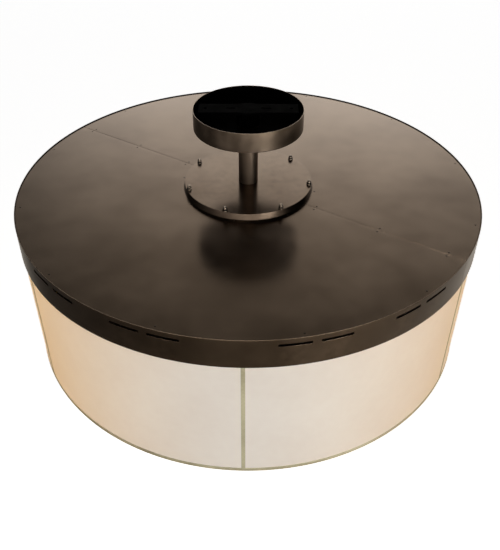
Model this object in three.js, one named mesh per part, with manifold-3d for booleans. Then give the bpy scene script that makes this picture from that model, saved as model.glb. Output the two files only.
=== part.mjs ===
// A large round ceiling light on a short stem: a steel cap with a slotted skirt over a six-panel drum shade.
// Millimetres, +Z up. The origin is on the ceiling, at the middle of the ceiling bracket's top face.
// The cap is two half discs that meet on a seam.
// Angles are in degrees from +X, anticlockwise seen from above.
import * as THREE from "three";
import { mergeVertices } from "three/addons/utils/BufferGeometryUtils.js";
import Module from "manifold-3d";

const wasm = await Module();
wasm.setup();

// ---- Driving dimensions ----

// Overall
const DRUM_RADIUS = 609.6; // outside of the skirt
const DRUM_HEIGHT = 432; // skirt's top edge to the foot of the shade
const DRUM_DROP = 218; // ceiling to the skirt's top edge
const SEAM_ANGLE = -33.8; // direction of the seam between the cap's halves
const FRONT_STILE_ANGLE = -91; // direction of the shade's first stile

// Clearances
const TOUCH_GAP = 0.3; // between pieces that bear on each other
const SLIDE_GAP = 0.4; // between the stem and what slides on it
const SKIRT_GAP = 0.5; // between a cap half's edge and the skirt
const HOLE_GAP = 0.4; // round a rivet, stud or screw in its hole

// Cap
const CAP_SHEET = 1.5;
const CAP_LIP = 4; // the skirt stands this far above the cap's face
const CAP_HOLE_MARGIN = 6; // round the stem's flange
const RIVET_HEAD_RADIUS = 3.2;
const RIVET_HEAD_HEIGHT = 1.6;
const RIVET_SHANK_RADIUS = 1.8;

// Skirt
const SKIRT_HEIGHT = 78;
const SKIRT_SHEET = 1.5;
const FLANGE_WIDTH = 32;
const FLANGE_RIVET_COUNT = 12;
const FLANGE_RIVET_INSET = 14; // from the outside of the skirt
const SLOT_GROUPS = 6;
const SLOT_HEIGHT = 7;
const SLOT_DEPTH = 17; // skirt's top edge to the middle of the slot
const SLOT_ARC = 6.75; // angle that one slot spans
const SLOT_HALF_PITCH = 4.3; // from the middle of a pair to the middle of a slot
const PAIR_HALF_PITCH = 12.7; // from the middle of a group to the middle of a pair
const JOINT_PLATE_ARC = 7;
const JOINT_PLATE_HEIGHT = 33;

// Seam splices, under the cap
const SPLICE_WIDTH = 40;
const SPLICE_THICK = 3;
const SPLICE_RIVET_PAIRS = 3;
const SPLICE_NEAR_INSET = 17; // hub plate's edge to the first pair of rivets
const SPLICE_FAR_INSET = 14.6; // flange's inner edge to the last pair
const SPLICE_RIVET_OFFSET = 7.75; // each side of the seam
const SPLICE_END_MARGIN = 7;

// Hub plate, under the cap
const HUB_THICK = 5;
const HUB_EDGE = 11.5; // hub plate's edge to its rivets
const HUB_RIVET_COUNT = 8;
const HUB_RIVET_OUTSET = 5.7; // mounting cover's edge to the hub's rivets
const STUD_COUNT = 7;
const STUD_INSET = 10.4; // mounting cover's edge to the studs
const STUD_RADIUS = 3.1;
const STUD_FIRST_ANGLE = -8.03;

// Mounting cover, a round pan over the hub
const COVER_RADIUS = 172.8;
const COVER_HEIGHT = 16.6;
const COVER_TAPER = 3.6; // how far the wall leans in up to the top
const COVER_SHEET = 2.2;
const COVER_CORNER = 2.5;

// Acorn nuts
const NUT_ACROSS_FLATS = 11.1;
const NUT_HEX_HEIGHT = 5;
const NUT_DOME_RADIUS = 5.2;
const NUT_WASHER_RADIUS = 6.8;
const NUT_WASHER_THICK = 1.2;
const STUD_ABOVE_COVER = 5.5;

// Stem
const STEM_RADIUS = 25.4;
const STEM_WALL = 4;
const STEM_TOP_DEPTH = 20; // ceiling to the tube's upper end
const STEM_FLANGE_WIDTH = 46.6;
const STEM_FLANGE_THICK = 6;
const SPIGOT_STEP = 1.4; // the spigot is this much smaller than the tube, in radius
const SPIGOT_BELOW_HUB = 15;
const LOCKNUT_WALL = 10.6;
const LOCKNUT_THICK = 12;

// Ceiling bracket
const BRACKET_LENGTH = 250;
const BRACKET_WIDTH = 50;
const BRACKET_THICK = 6;
const BOX_SCREW_SPACING = 88.9; // slots for the ceiling box's screws
const BOX_SLOT_LENGTH = 24;
const BOX_SLOT_WIDTH = 5.5;
const LAG_HOLE_SPACING = 216;
const LAG_HOLE_RADIUS = 4.5;
const SLEEVE_WALL = 5;
const SLEEVE_LENGTH = 34;
const WIRE_WINDOW_WIDTH = 26;
const CROSS_BOLT_RADIUS = 4;
const CROSS_BOLT_DEPTH = 31; // ceiling to the bolt's axis
const CROSS_BOLT_HEAD_RADIUS = 7;
const CROSS_BOLT_HEAD_THICK = 5;
const CROSS_NUT_THICK = 6;
const CROSS_BOLT_OVERHANG = 9;

// Canopy and its collar
const CANOPY_RADIUS = 139.7;
const CANOPY_DEPTH = 50.8;
const CANOPY_SHEET = 1.5;
const COLLAR_WALL = 8.2;
const COLLAR_HEIGHT = 16;
const THUMB_SCREW_RADIUS = 3;
const THUMB_HEAD_RADIUS = 6;
const THUMB_HEAD_LENGTH = 9;
const THUMB_NECK_LENGTH = 3;
const THUMB_SCREW_ANGLE = 90;

// Shade
const SHADE_GAP = 1.6; // skirt's inside to the outside of the stiles and rings
const SHADE_PANELS = 6;
const SHADE_SHEET = 1.5;
const SHADE_TOP_DEPTH = 45; // skirt's top edge to the top of the shade
const STILE_WIDTH = 9.5; // outside face
const STILE_FACE = 0.8; // thickness of the outside face
const STILE_WEB = 3; // between the edges of two sheets
const STILE_BACK_WIDTH = 16;
const FRAME_DEPTH = 6; // radial size of the stiles and rings
const TOP_RING_HEIGHT = 12;
const BOTTOM_RING_HEIGHT = 10;
const LIP_WIDTH = 12;
const LIP_THICK = 2;
const HANGER_WIDTH = 22;
const HANGER_THICK = 2;
const HANGER_FOOT = 24;
const HANGER_ANGLES = [60, 120, 240, 300]; // from the seam
const SHADE_SCREW_RADIUS = 2;
const SHADE_SCREW_HEAD_RADIUS = 4.5;
const SHADE_SCREW_HEAD_THICK = 3;

// Diffuser
const DIFFUSER_THICK = 3;
const DIFFUSER_EDGE_GAP = 1.5;
const CROSSBAR_FLANGE = 25;
const CROSSBAR_WEB = 3;
const CROSSBAR_HEIGHT = 12;
const CROSSBAR_FLANGE_THICK = 2;

// Lamps
const LAMP_COUNT = 6;
const LAMP_INSET = 276.5; // outside of the shade to the lamps
const LAMP_FIRST_ANGLE = -61;
const ARM_WIDTH = 14;
const ARM_HEIGHT = 12;
const WIRING_CUP_MARGIN = 23.6; // round the locknut's corners
const WIRING_CUP_DEPTH = 50;
const WIRING_CUP_SHEET = 2;
const LAMP_RING_RADIUS = 21;
const HOLDER_NIPPLE_RADIUS = 6;
const HOLDER_RADIUS = 18;
const HOLDER_LENGTH = 52;
const HOLDER_MOUTH_RADIUS = 14.2;
const HOLDER_MOUTH_DEPTH = 26;
const BULB_BASE_RADIUS = 13;
const BULB_RADIUS = 30;
const BULB_LENGTH = 108;

// Facets
const LARGE_CIRCLE = 72;
const MEDIUM_CIRCLE = 36;
const SMALL_CIRCLE = 12;
const RIVET_CIRCLE = 6;

// ---- Heights and radii that follow ----

const hexCorners = (acrossFlats) => acrossFlats / 2 / Math.cos(Math.PI / 6);
const skirtTop = -DRUM_DROP;
const skirtBottom = skirtTop - SKIRT_HEIGHT;
const drumBottom = skirtTop - DRUM_HEIGHT;
const capTop = skirtTop - CAP_LIP;
const capBottom = capTop - CAP_SHEET;
const flangeTop = capBottom - TOUCH_GAP;
const flangeBottom = flangeTop - SKIRT_SHEET;
const skirtInner = DRUM_RADIUS - SKIRT_SHEET;
const flangeInner = DRUM_RADIUS - FLANGE_WIDTH;
const capRadius = skirtInner - SKIRT_GAP;
const studCircle = COVER_RADIUS - STUD_INSET;
const hubRivetCircle = COVER_RADIUS + HUB_RIVET_OUTSET;
const hubRadius = hubRivetCircle + HUB_EDGE;
const hubTop = capBottom - TOUCH_GAP;
const hubBottom = hubTop - HUB_THICK;
const coverBottom = capTop + TOUCH_GAP;
const coverTop = coverBottom + COVER_HEIGHT;
const canopyBottom = -CANOPY_DEPTH;
const collarTop = canopyBottom - TOUCH_GAP;
const sleeveInner = STEM_RADIUS + SLIDE_GAP;
const sleeveOuter = sleeveInner + SLEEVE_WALL;
const stemBore = STEM_RADIUS - STEM_WALL;
const stemFlangeRadius = STEM_RADIUS + STEM_FLANGE_WIDTH;
const capHoleRadius = stemFlangeRadius + CAP_HOLE_MARGIN;
const spigotRadius = STEM_RADIUS - SPIGOT_STEP;
const locknutFlats = 2 * (spigotRadius + HOLE_GAP + LOCKNUT_WALL);
const collarRadius = STEM_RADIUS + SLIDE_GAP + COLLAR_WALL;
const shadeRadius = skirtInner - SHADE_GAP;
const shadeTop = skirtTop - SHADE_TOP_DEPTH;
const frameInner = shadeRadius - FRAME_DEPTH;
const bottomRingTop = drumBottom + BOTTOM_RING_HEIGHT;
const lipInner = frameInner - LIP_WIDTH;
const lipTop = drumBottom + LIP_THICK;
const lampCircle = shadeRadius - LAMP_INSET;
const wiringCupRadius = hexCorners(locknutFlats) + WIRING_CUP_MARGIN;
const wiringCupTop = hubBottom - TOUCH_GAP;
const wiringCupBottom = wiringCupTop - WIRING_CUP_DEPTH;
const armMiddle = wiringCupBottom + ARM_HEIGHT;
const armBottom = armMiddle - ARM_HEIGHT / 2;
const holderTop = armBottom - TOUCH_GAP;

const largeApothem = Math.cos(Math.PI / LARGE_CIRCLE); // of a large circle's facets, from its radius

// ---- Shapes, as three.js geometries ----

const radians = THREE.MathUtils.degToRad;
const onCircle = (radius, angle) =>
  new THREE.Vector2(radius * Math.cos(radians(angle)), radius * Math.sin(radians(angle)));
const evenly = (count, first) => Array.from({ length: count }, (_, i) => first + (i * 360) / count);

// A ring of evenly spaced points from one angle to another.
function arc(radius, from, to, steps) {
  return Array.from({ length: steps + 1 }, (_, i) => onCircle(radius, from + ((to - from) * i) / steps));
}

// A profile of [radius, height] pairs turned round the Z axis. The profile closes on itself.
function turned(profile, segments, firstAngle = 0) {
  const points = [...profile, profile[0]].map(([radius, height]) => new THREE.Vector2(radius, height));
  const geometry = new THREE.LatheGeometry(points, segments);
  return geometry.rotateX(Math.PI / 2).rotateZ(radians(firstAngle));
}

// A flat outline raised from one height to another.
function raised(outline, bottom, top) {
  const geometry = new THREE.ExtrudeGeometry(new THREE.Shape(outline), {
    depth: top - bottom,
    bevelEnabled: false,
  });
  return geometry.translate(0, 0, bottom);
}

function box(x0, x1, y0, y1, z0, z1) {
  const geometry = new THREE.BoxGeometry(x1 - x0, y1 - y0, z1 - z0);
  return geometry.translate((x0 + x1) / 2, (y0 + y1) / 2, (z0 + z1) / 2);
}

function cylinder(radius, bottom, top, segments) {
  return turned([[0, bottom], [radius, bottom], [radius, top], [0, top]], segments);
}

// How far out a bar reaches along a circle's radius before its corners meet the circle's facets.
const chordReach = (radius, halfWidth, gap) =>
  Math.sqrt((radius * largeApothem) ** 2 - halfWidth ** 2) - gap;

// Part of a ring: the area between two radii and two angles, raised.
function sector(inner, outer, from, to, bottom, top, steps) {
  return raised([...arc(outer, from, to, steps), ...arc(inner, to, from, steps)], bottom, top);
}

function hexagon(acrossFlats, bottom, top) {
  return cylinder(hexCorners(acrossFlats), bottom, top, 6);
}

// A rivet that stands on the cap: a low dome over a shank that reaches down into what it holds.
function capRivet(bottom) {
  const seat = capTop + TOUCH_GAP;
  const profile = [
    [0, bottom],
    [RIVET_SHANK_RADIUS, bottom],
    [RIVET_SHANK_RADIUS, seat],
    [RIVET_HEAD_RADIUS, seat],
    [RIVET_HEAD_RADIUS * 0.72, seat + RIVET_HEAD_HEIGHT * 0.75],
    [0, seat + RIVET_HEAD_HEIGHT],
  ];
  return turned(profile, RIVET_CIRCLE);
}

// Turns geometry drawn along +X to an angle.
const facing = (geometry, angle) => geometry.rotateZ(radians(angle));
const standingAt = (geometry, radius, angle) => {
  const place = onCircle(radius, angle);
  return geometry.translate(place.x, place.y, 0);
};

// ---- Joining and cutting ----

// A closed geometry as a manifold-3d solid: only its positions, merged, without the slivers at a pole.
function solidOf(geometry) {
  const bare = geometry.index ? geometry.toNonIndexed() : geometry;
  const positions = new THREE.BufferGeometry().setAttribute("position", bare.getAttribute("position"));
  const merged = mergeVertices(positions, 1e-4);
  const corners = merged.index.array;
  const kept = [];
  for (let i = 0; i < corners.length; i += 3) {
    const [a, b, c] = corners.slice(i, i + 3);
    if (a !== b && b !== c && c !== a) kept.push(a, b, c);
  }
  const vertProperties = new Float32Array(merged.attributes.position.array);
  const triVerts = new Uint32Array(kept);
  return new wasm.Manifold(new wasm.Mesh({ numProp: 3, vertProperties, triVerts }));
}

function geometryOf(solid) {
  const mesh = solid.getMesh();
  const positions = new Float32Array(mesh.numVert * 3);
  for (let i = 0; i < mesh.numVert; i++) {
    positions.set(mesh.vertProperties.subarray(i * mesh.numProp, i * mesh.numProp + 3), i * 3);
  }
  const indexed = new THREE.BufferGeometry()
    .setAttribute("position", new THREE.BufferAttribute(positions, 3))
    .setIndex(new THREE.BufferAttribute(mesh.triVerts, 1));
  const flat = indexed.toNonIndexed();
  flat.computeVertexNormals();
  return flat;
}

const joined = (geometries) => geometries.map(solidOf).reduce((all, next) => all.add(next));
const made = (geometries, cuts = []) =>
  geometryOf(cuts.map(solidOf).reduce((rest, cut) => rest.subtract(cut), joined(geometries)));

// ---- Materials ----

const bronze = new THREE.MeshStandardMaterial({ color: 0x3a3129, roughness: 0.35, metalness: 0.9 });
const steel = new THREE.MeshStandardMaterial({ color: 0x8d8d8a, roughness: 0.4, metalness: 0.9 });
const blackSteel = new THREE.MeshStandardMaterial({ color: 0x0b0b0b, roughness: 0.7, metalness: 0.3 });
const brass = new THREE.MeshStandardMaterial({ color: 0xa8956a, roughness: 0.4, metalness: 0.6 });
const parchment = new THREE.MeshStandardMaterial({ color: 0xe6d8c2, roughness: 0.6, metalness: 0 });
const acrylic = new THREE.MeshStandardMaterial({ color: 0xf2efe8, roughness: 0.3, metalness: 0 });
const porcelain = new THREE.MeshStandardMaterial({ color: 0xe9e6de, roughness: 0.4, metalness: 0 });
const glass = new THREE.MeshStandardMaterial({ color: 0xf6f4ee, roughness: 0.3, metalness: 0 });

const fixture = new THREE.Group();
function add(name, material, geometry) {
  const mesh = new THREE.Mesh(geometry, material);
  mesh.name = name;
  fixture.add(mesh);
}

// ---- Ceiling bracket, cross bolt and stem ----

function ceilingBracket() {
  const halfLength = BRACKET_LENGTH / 2;
  const halfWidth = BRACKET_WIDTH / 2;
  const sleeveBottom = -BRACKET_THICK - SLEEVE_LENGTH;
  const sleeve = turned(
    [[sleeveInner, sleeveBottom], [sleeveOuter, sleeveBottom], [sleeveOuter, -1], [sleeveInner, -1]],
    MEDIUM_CIRCLE,
  );
  const strap = box(-halfLength, halfLength, -halfWidth, halfWidth, -BRACKET_THICK, 0);
  const seat = cylinder(sleeveOuter, -BRACKET_THICK, 0, MEDIUM_CIRCLE);
  const boltHole = cylinder(CROSS_BOLT_RADIUS + HOLE_GAP, -halfLength, halfLength, SMALL_CIRCLE);
  const cuts = [
    box(0, sleeveOuter + 1, -WIRE_WINDOW_WIDTH / 2, WIRE_WINDOW_WIDTH / 2, -STEM_TOP_DEPTH, -BRACKET_THICK),
    boltHole.rotateX(Math.PI / 2).translate(0, 0, -CROSS_BOLT_DEPTH),
  ];
  for (const side of [-1, 1]) {
    const slot = (side * BOX_SCREW_SPACING) / 2;
    const reach = BOX_SLOT_LENGTH / 2;
    const half = BOX_SLOT_WIDTH / 2;
    cuts.push(box(slot - reach, slot + reach, -half, half, -BRACKET_THICK - 1, 1));
    const hole = cylinder(LAG_HOLE_RADIUS, -BRACKET_THICK - 1, 1, SMALL_CIRCLE);
    cuts.push(hole.translate((side * LAG_HOLE_SPACING) / 2, 0, 0));
  }
  add("ceiling_bracket", blackSteel, made([strap, seat, sleeve], cuts));
}

// The bolt runs along Y through the bracket's sleeve and the stem.
function crossBolt() {
  const shoulder = sleeveOuter + TOUCH_GAP;
  const headEnd = shoulder + CROSS_BOLT_HEAD_THICK;
  const tip = sleeveOuter + CROSS_BOLT_OVERHANG;
  const bolt = made([
    cylinder(CROSS_BOLT_RADIUS, -tip, shoulder + 1, SMALL_CIRCLE),
    cylinder(CROSS_BOLT_HEAD_RADIUS, shoulder, headEnd, 6),
  ]);
  add("stem_cross_bolt", blackSteel, bolt.rotateX(Math.PI / 2).translate(0, 0, -CROSS_BOLT_DEPTH));
  const nut = made(
    [cylinder(CROSS_BOLT_HEAD_RADIUS, -shoulder - CROSS_NUT_THICK, -shoulder, 6)],
    [cylinder(CROSS_BOLT_RADIUS + TOUCH_GAP, -tip - 1, 0, SMALL_CIRCLE)],
  );
  add("stem_cross_nut", blackSteel, nut.rotateX(Math.PI / 2).translate(0, 0, -CROSS_BOLT_DEPTH));
}

// One welded piece: a tube, a flange that stands on the hub plate, and a threaded spigot below it.
function stem() {
  const flangeSeat = hubTop + TOUCH_GAP;
  const flangeFace = flangeSeat + STEM_FLANGE_THICK;
  const spigotEnd = hubBottom - SPIGOT_BELOW_HUB;
  const profile = [
    [stemBore, spigotEnd],
    [spigotRadius, spigotEnd],
    [spigotRadius, flangeSeat],
    [stemFlangeRadius, flangeSeat],
    [stemFlangeRadius, flangeFace],
    [STEM_RADIUS, flangeFace],
    [STEM_RADIUS, -STEM_TOP_DEPTH - TOUCH_GAP],
    [stemBore, -STEM_TOP_DEPTH - TOUCH_GAP],
  ];
  const hole = cylinder(CROSS_BOLT_RADIUS + HOLE_GAP, -STEM_RADIUS - 1, STEM_RADIUS + 1, SMALL_CIRCLE);
  hole.rotateX(Math.PI / 2).translate(0, 0, -CROSS_BOLT_DEPTH);
  add("stem", bronze, made([turned(profile, MEDIUM_CIRCLE)], [hole]));
}

function stemLocknut() {
  const top = hubBottom - TOUCH_GAP;
  const body = hexagon(locknutFlats, top - LOCKNUT_THICK, top);
  const bore = cylinder(spigotRadius + HOLE_GAP, top - LOCKNUT_THICK - 1, top + 1, MEDIUM_CIRCLE);
  add("stem_locknut", steel, made([body], [bore]));
}

// ---- Canopy and collar, which slide on the stem ----

function canopy() {
  const wall = CANOPY_RADIUS - CANOPY_SHEET;
  const bore = STEM_RADIUS + SLIDE_GAP;
  const floor = canopyBottom + CANOPY_SHEET;
  const profile = [
    [bore, canopyBottom],
    [CANOPY_RADIUS - 2, canopyBottom],
    [CANOPY_RADIUS, canopyBottom + 2],
    [CANOPY_RADIUS, 0],
    [wall, 0],
    [wall, floor],
    [bore, floor],
  ];
  add("canopy", bronze, made([turned(profile, MEDIUM_CIRCLE)]));
}

function canopyCollar() {
  const bore = STEM_RADIUS + SLIDE_GAP;
  const bottom = collarTop - COLLAR_HEIGHT;
  const middle = collarTop - COLLAR_HEIGHT / 2;
  const ring = turned(
    [[bore, bottom], [collarRadius, bottom], [collarRadius, collarTop], [bore, collarTop]],
    MEDIUM_CIRCLE,
  );
  const hole = cylinder(THUMB_SCREW_RADIUS + HOLE_GAP, 0, collarRadius + 1, SMALL_CIRCLE);
  hole.rotateY(Math.PI / 2).translate(0, 0, middle);
  add("canopy_collar", bronze, made([ring], [facing(hole, THUMB_SCREW_ANGLE)]));
}

function collarThumbScrew() {
  const tip = STEM_RADIUS + TOUCH_GAP;
  const neck = collarRadius + TOUCH_GAP + THUMB_NECK_LENGTH;
  const end = neck + THUMB_HEAD_LENGTH;
  const profile = [
    [0, tip],
    [THUMB_SCREW_RADIUS, tip],
    [THUMB_SCREW_RADIUS, neck],
    [THUMB_HEAD_RADIUS, neck],
    [THUMB_HEAD_RADIUS, end],
    [0, end],
  ];
  const screw = turned(profile, SMALL_CIRCLE).rotateY(Math.PI / 2);
  screw.translate(0, 0, collarTop - COLLAR_HEIGHT / 2);
  add("collar_thumb_screw", bronze, made([facing(screw, THUMB_SCREW_ANGLE)]));
}

// ---- Mounting cover, hub plate and acorn nuts ----

const studAngles = evenly(STUD_COUNT, STUD_FIRST_ANGLE);
const hubRivetAngles = evenly(HUB_RIVET_COUNT, SEAM_ANGLE + 180 / HUB_RIVET_COUNT);
const studHole = (bottom, top) => cylinder(STUD_RADIUS + HOLE_GAP, bottom, top, RIVET_CIRCLE);
const rivetHole = (bottom, top) => cylinder(RIVET_SHANK_RADIUS + HOLE_GAP, bottom, top, RIVET_CIRCLE);

function mountingCover() {
  const outside = (level) => COVER_RADIUS - (COVER_TAPER * (level - coverBottom)) / COVER_HEIGHT;
  const ceiling = coverTop - COVER_SHEET;
  const bore = STEM_RADIUS + SLIDE_GAP;
  const profile = [
    [COVER_RADIUS - COVER_SHEET, coverBottom],
    [COVER_RADIUS, coverBottom],
    [outside(coverTop - COVER_CORNER), coverTop - COVER_CORNER],
    [outside(coverTop) - COVER_CORNER * 0.3, coverTop - COVER_CORNER * 0.3],
    [outside(coverTop) - COVER_CORNER, coverTop],
    [bore, coverTop],
    [bore, ceiling],
    [outside(ceiling) - COVER_SHEET, ceiling],
  ];
  const holes = studAngles.map((angle) =>
    standingAt(studHole(coverBottom, coverTop + 1), studCircle, angle),
  );
  add("mounting_cover", bronze, made([turned(profile, MEDIUM_CIRCLE)], holes));
}

// The hub plate carries the cap: it holds both halves with rivets and the cover with welded studs.
function hubPlate() {
  const plate = turned(
    [
      [spigotRadius + HOLE_GAP, hubBottom],
      [hubRadius, hubBottom],
      [hubRadius, hubTop],
      [spigotRadius + HOLE_GAP, hubTop],
    ],
    MEDIUM_CIRCLE,
  );
  const studTop = coverTop + STUD_ABOVE_COVER;
  const studs = studAngles.map((angle) =>
    standingAt(cylinder(STUD_RADIUS, hubBottom + 1, studTop, RIVET_CIRCLE), studCircle, angle),
  );
  const rivets = hubRivetAngles.map((angle) => standingAt(capRivet(hubBottom + 1), hubRivetCircle, angle));
  add("hub_plate", steel, made([plate, ...studs, ...rivets]));
}

function acornNuts() {
  const seat = coverTop + TOUCH_GAP;
  const hexTop = seat + NUT_WASHER_THICK + NUT_HEX_HEIGHT;
  const dome = [0, 25, 50, 75].map((lift) => [
    NUT_DOME_RADIUS * Math.cos(radians(lift)),
    hexTop + NUT_DOME_RADIUS * Math.sin(radians(lift)),
  ]);
  studAngles.forEach((angle, i) => {
    const nut = made(
      [
        cylinder(NUT_WASHER_RADIUS, seat, seat + NUT_WASHER_THICK, SMALL_CIRCLE),
        hexagon(NUT_ACROSS_FLATS, seat, hexTop),
        turned([[0, seat], [NUT_DOME_RADIUS, seat], ...dome, [0, hexTop + NUT_DOME_RADIUS]], SMALL_CIRCLE),
      ],
      [studHole(seat - 1, coverTop + STUD_ABOVE_COVER + HOLE_GAP)],
    );
    add(`acorn_nut_${i + 1}`, bronze, standingAt(nut, studCircle, angle));
  });
}

// ---- Cap halves, seam splices and skirt ----

const flangeRivetCircle = DRUM_RADIUS - FLANGE_RIVET_INSET;
const flangeRivetAngles = evenly(FLANGE_RIVET_COUNT, SEAM_ANGLE + 180 / FLANGE_RIVET_COUNT);

// The pairs of rivets along one arm of the seam, drawn along +X.
const spliceNear = hubRadius + SPLICE_NEAR_INSET;
const splicePitch = (flangeInner - SPLICE_FAR_INSET - spliceNear) / (SPLICE_RIVET_PAIRS - 1);
const spliceRivetPlaces = Array.from({ length: SPLICE_RIVET_PAIRS }, (_, i) => spliceNear + i * splicePitch)
  .flatMap((x) => [-SPLICE_RIVET_OFFSET, SPLICE_RIVET_OFFSET].map((y) => [x, y]));

// Everything on one side of the seam: side 0 starts at the seam's direction, side 1 half a turn on.
function halfSpace(side) {
  const reach = DRUM_RADIUS * 2;
  const half = box(-reach, reach, TOUCH_GAP / 2, reach, drumBottom, 0);
  return facing(half, SEAM_ANGLE + side * 180);
}
const halfOf = (whole, side) => whole.intersect(solidOf(halfSpace(side)));

function capHalves() {
  const hole = (radius, angle) => standingAt(rivetHole(capBottom - 1, capTop + 1), radius, angle);
  const spliceHoles = [0, 180].flatMap((turn) =>
    spliceRivetPlaces.map(([x, y]) => {
      const drilled = rivetHole(capBottom - 1, capTop + 1).translate(x, y, 0);
      return facing(drilled, SEAM_ANGLE + turn);
    }),
  );
  const cuts = [
    cylinder(capHoleRadius, capBottom - 1, capTop + 1, MEDIUM_CIRCLE),
    ...studAngles.map((angle) => standingAt(studHole(capBottom - 1, capTop + 1), studCircle, angle)),
    ...hubRivetAngles.map((angle) => hole(hubRivetCircle, angle)),
    ...flangeRivetAngles.map((angle) => hole(flangeRivetCircle, angle)),
    ...spliceHoles,
  ];
  const disc = solidOf(facing(cylinder(capRadius, capBottom, capTop, LARGE_CIRCLE), SEAM_ANGLE));
  const drilled = cuts.map(solidOf).reduce((rest, cut) => rest.subtract(cut), disc);
  for (const side of [0, 1]) {
    add(`cap_half_${side + 1}`, bronze, geometryOf(halfOf(drilled, side)));
  }
}

// A flat bar under each arm of the seam, with the rivets that pin both cap halves to it.
function seamSplices() {
  const top = capBottom - TOUCH_GAP;
  const bottom = top - SPLICE_THICK;
  const near = hubRadius + SPLICE_END_MARGIN;
  const far = chordReach(flangeInner, SPLICE_WIDTH / 2, TOUCH_GAP);
  [0, 180].forEach((turn, i) => {
    const bar = box(near, far, -SPLICE_WIDTH / 2, SPLICE_WIDTH / 2, bottom, top);
    const rivets = spliceRivetPlaces.map(([x, y]) => capRivet(bottom + 1).translate(x, y, 0));
    const pieces = [bar, ...rivets].map((piece) => facing(piece, SEAM_ANGLE + turn));
    add(`seam_splice_${i + 1}`, steel, made(pieces));
  });
}

// The middle angle of every slot, from the seam.
const slotAngles = evenly(SLOT_GROUPS, 180 / SLOT_GROUPS).flatMap((group) =>
  [-PAIR_HALF_PITCH, PAIR_HALF_PITCH].flatMap((pair) =>
    [-SLOT_HALF_PITCH, SLOT_HALF_PITCH].map((slot) => group + pair + slot),
  ),
);

// Each skirt half is bent from one strip, its flange turned in under the cap, with the cap's rivets in it.
function skirtHalves() {
  const ring = turned(
    [
      [skirtInner, skirtBottom],
      [DRUM_RADIUS, skirtBottom],
      [DRUM_RADIUS, skirtTop],
      [skirtInner, skirtTop],
      [skirtInner, flangeTop],
      [flangeInner, flangeTop],
      [flangeInner, flangeBottom],
      [skirtInner, flangeBottom],
    ],
    LARGE_CIRCLE,
    SEAM_ANGLE,
  );
  const slotMiddle = skirtTop - SLOT_DEPTH;
  const slots = slotAngles.map((angle) => {
    const middle = SEAM_ANGLE + angle;
    const [from, to] = [middle - SLOT_ARC / 2, middle + SLOT_ARC / 2];
    const [low, high] = [slotMiddle - SLOT_HEIGHT / 2, slotMiddle + SLOT_HEIGHT / 2];
    return sector(skirtInner - 4, DRUM_RADIUS + 4, from, to, low, high, 2);
  });
  const slotted = slots.map(solidOf).reduce((rest, cut) => rest.subtract(cut), solidOf(ring));
  for (const side of [0, 1]) {
    const rivets = flangeRivetAngles
      .filter((_, i) => Math.floor((i * 2) / FLANGE_RIVET_COUNT) === side)
      .map((angle) => solidOf(standingAt(capRivet(flangeBottom + 0.5), flangeRivetCircle, angle)));
    const half = rivets.reduce((all, rivet) => all.add(rivet), halfOf(slotted, side));
    add(`skirt_half_${side + 1}`, bronze, geometryOf(half));
  }
}

// A curved plate inside the skirt at each end of the seam ties the two skirt halves together.
function skirtJointPlates() {
  const outer = skirtInner * largeApothem - TOUCH_GAP;
  const top = flangeBottom - TOUCH_GAP * 2;
  [0, 180].forEach((turn, i) => {
    const middle = SEAM_ANGLE + turn;
    const [from, to] = [middle - JOINT_PLATE_ARC / 2, middle + JOINT_PLATE_ARC / 2];
    const plate = sector(outer - SKIRT_SHEET, outer, from, to, top - JOINT_PLATE_HEIGHT, top, 4);
    add(`skirt_joint_plate_${i + 1}`, steel, made([plate]));
  });
}

// ---- Shade ----

const stileAngles = evenly(SHADE_PANELS, FRONT_STILE_ANGLE);
const stileFaceInner = shadeRadius - STILE_FACE;
const sheetOuter = stileFaceInner - TOUCH_GAP;
const sheetInner = sheetOuter - SHADE_SHEET;
const stileBackOuter = sheetInner - TOUCH_GAP * 2;
const sheetMargin = THREE.MathUtils.radToDeg((STILE_WEB / 2 + TOUCH_GAP) / sheetInner);
const hangerAngles = HANGER_ANGLES.map((angle) => SEAM_ANGLE + angle);
const hangerOuter = frameInner + FRAME_DEPTH / 2;
const hangerInner = hangerOuter - HANGER_FOOT;
const footTop = flangeBottom - TOUCH_GAP;
const footBottom = footTop - HANGER_THICK;
const shadeScrewCircle = (hangerInner + flangeInner + HANGER_FOOT) / 2;

// The top ring has four hangers that rise inside the skirt and turn in under its flange.
function shadeTopRing() {
  const bottom = shadeTop - TOP_RING_HEIGHT;
  const ring = turned(
    [[frameInner, bottom], [shadeRadius, bottom], [shadeRadius, shadeTop], [frameInner, shadeTop]],
    LARGE_CIRCLE,
    FRONT_STILE_ANGLE,
  );
  const half = HANGER_WIDTH / 2;
  const hangers = hangerAngles.flatMap((angle) => [
    facing(box(hangerOuter - HANGER_THICK, hangerOuter, -half, half, bottom + 1, footTop), angle),
    facing(box(hangerInner, hangerOuter, -half, half, footBottom, footTop), angle),
  ]);
  const holes = hangerAngles.map((angle) => {
    const hole = cylinder(SHADE_SCREW_RADIUS + HOLE_GAP, footBottom - 1, footTop + 1, RIVET_CIRCLE);
    return standingAt(hole, shadeScrewCircle, angle);
  });
  add("shade_top_ring", brass, made([ring, ...hangers], holes));
}

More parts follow.
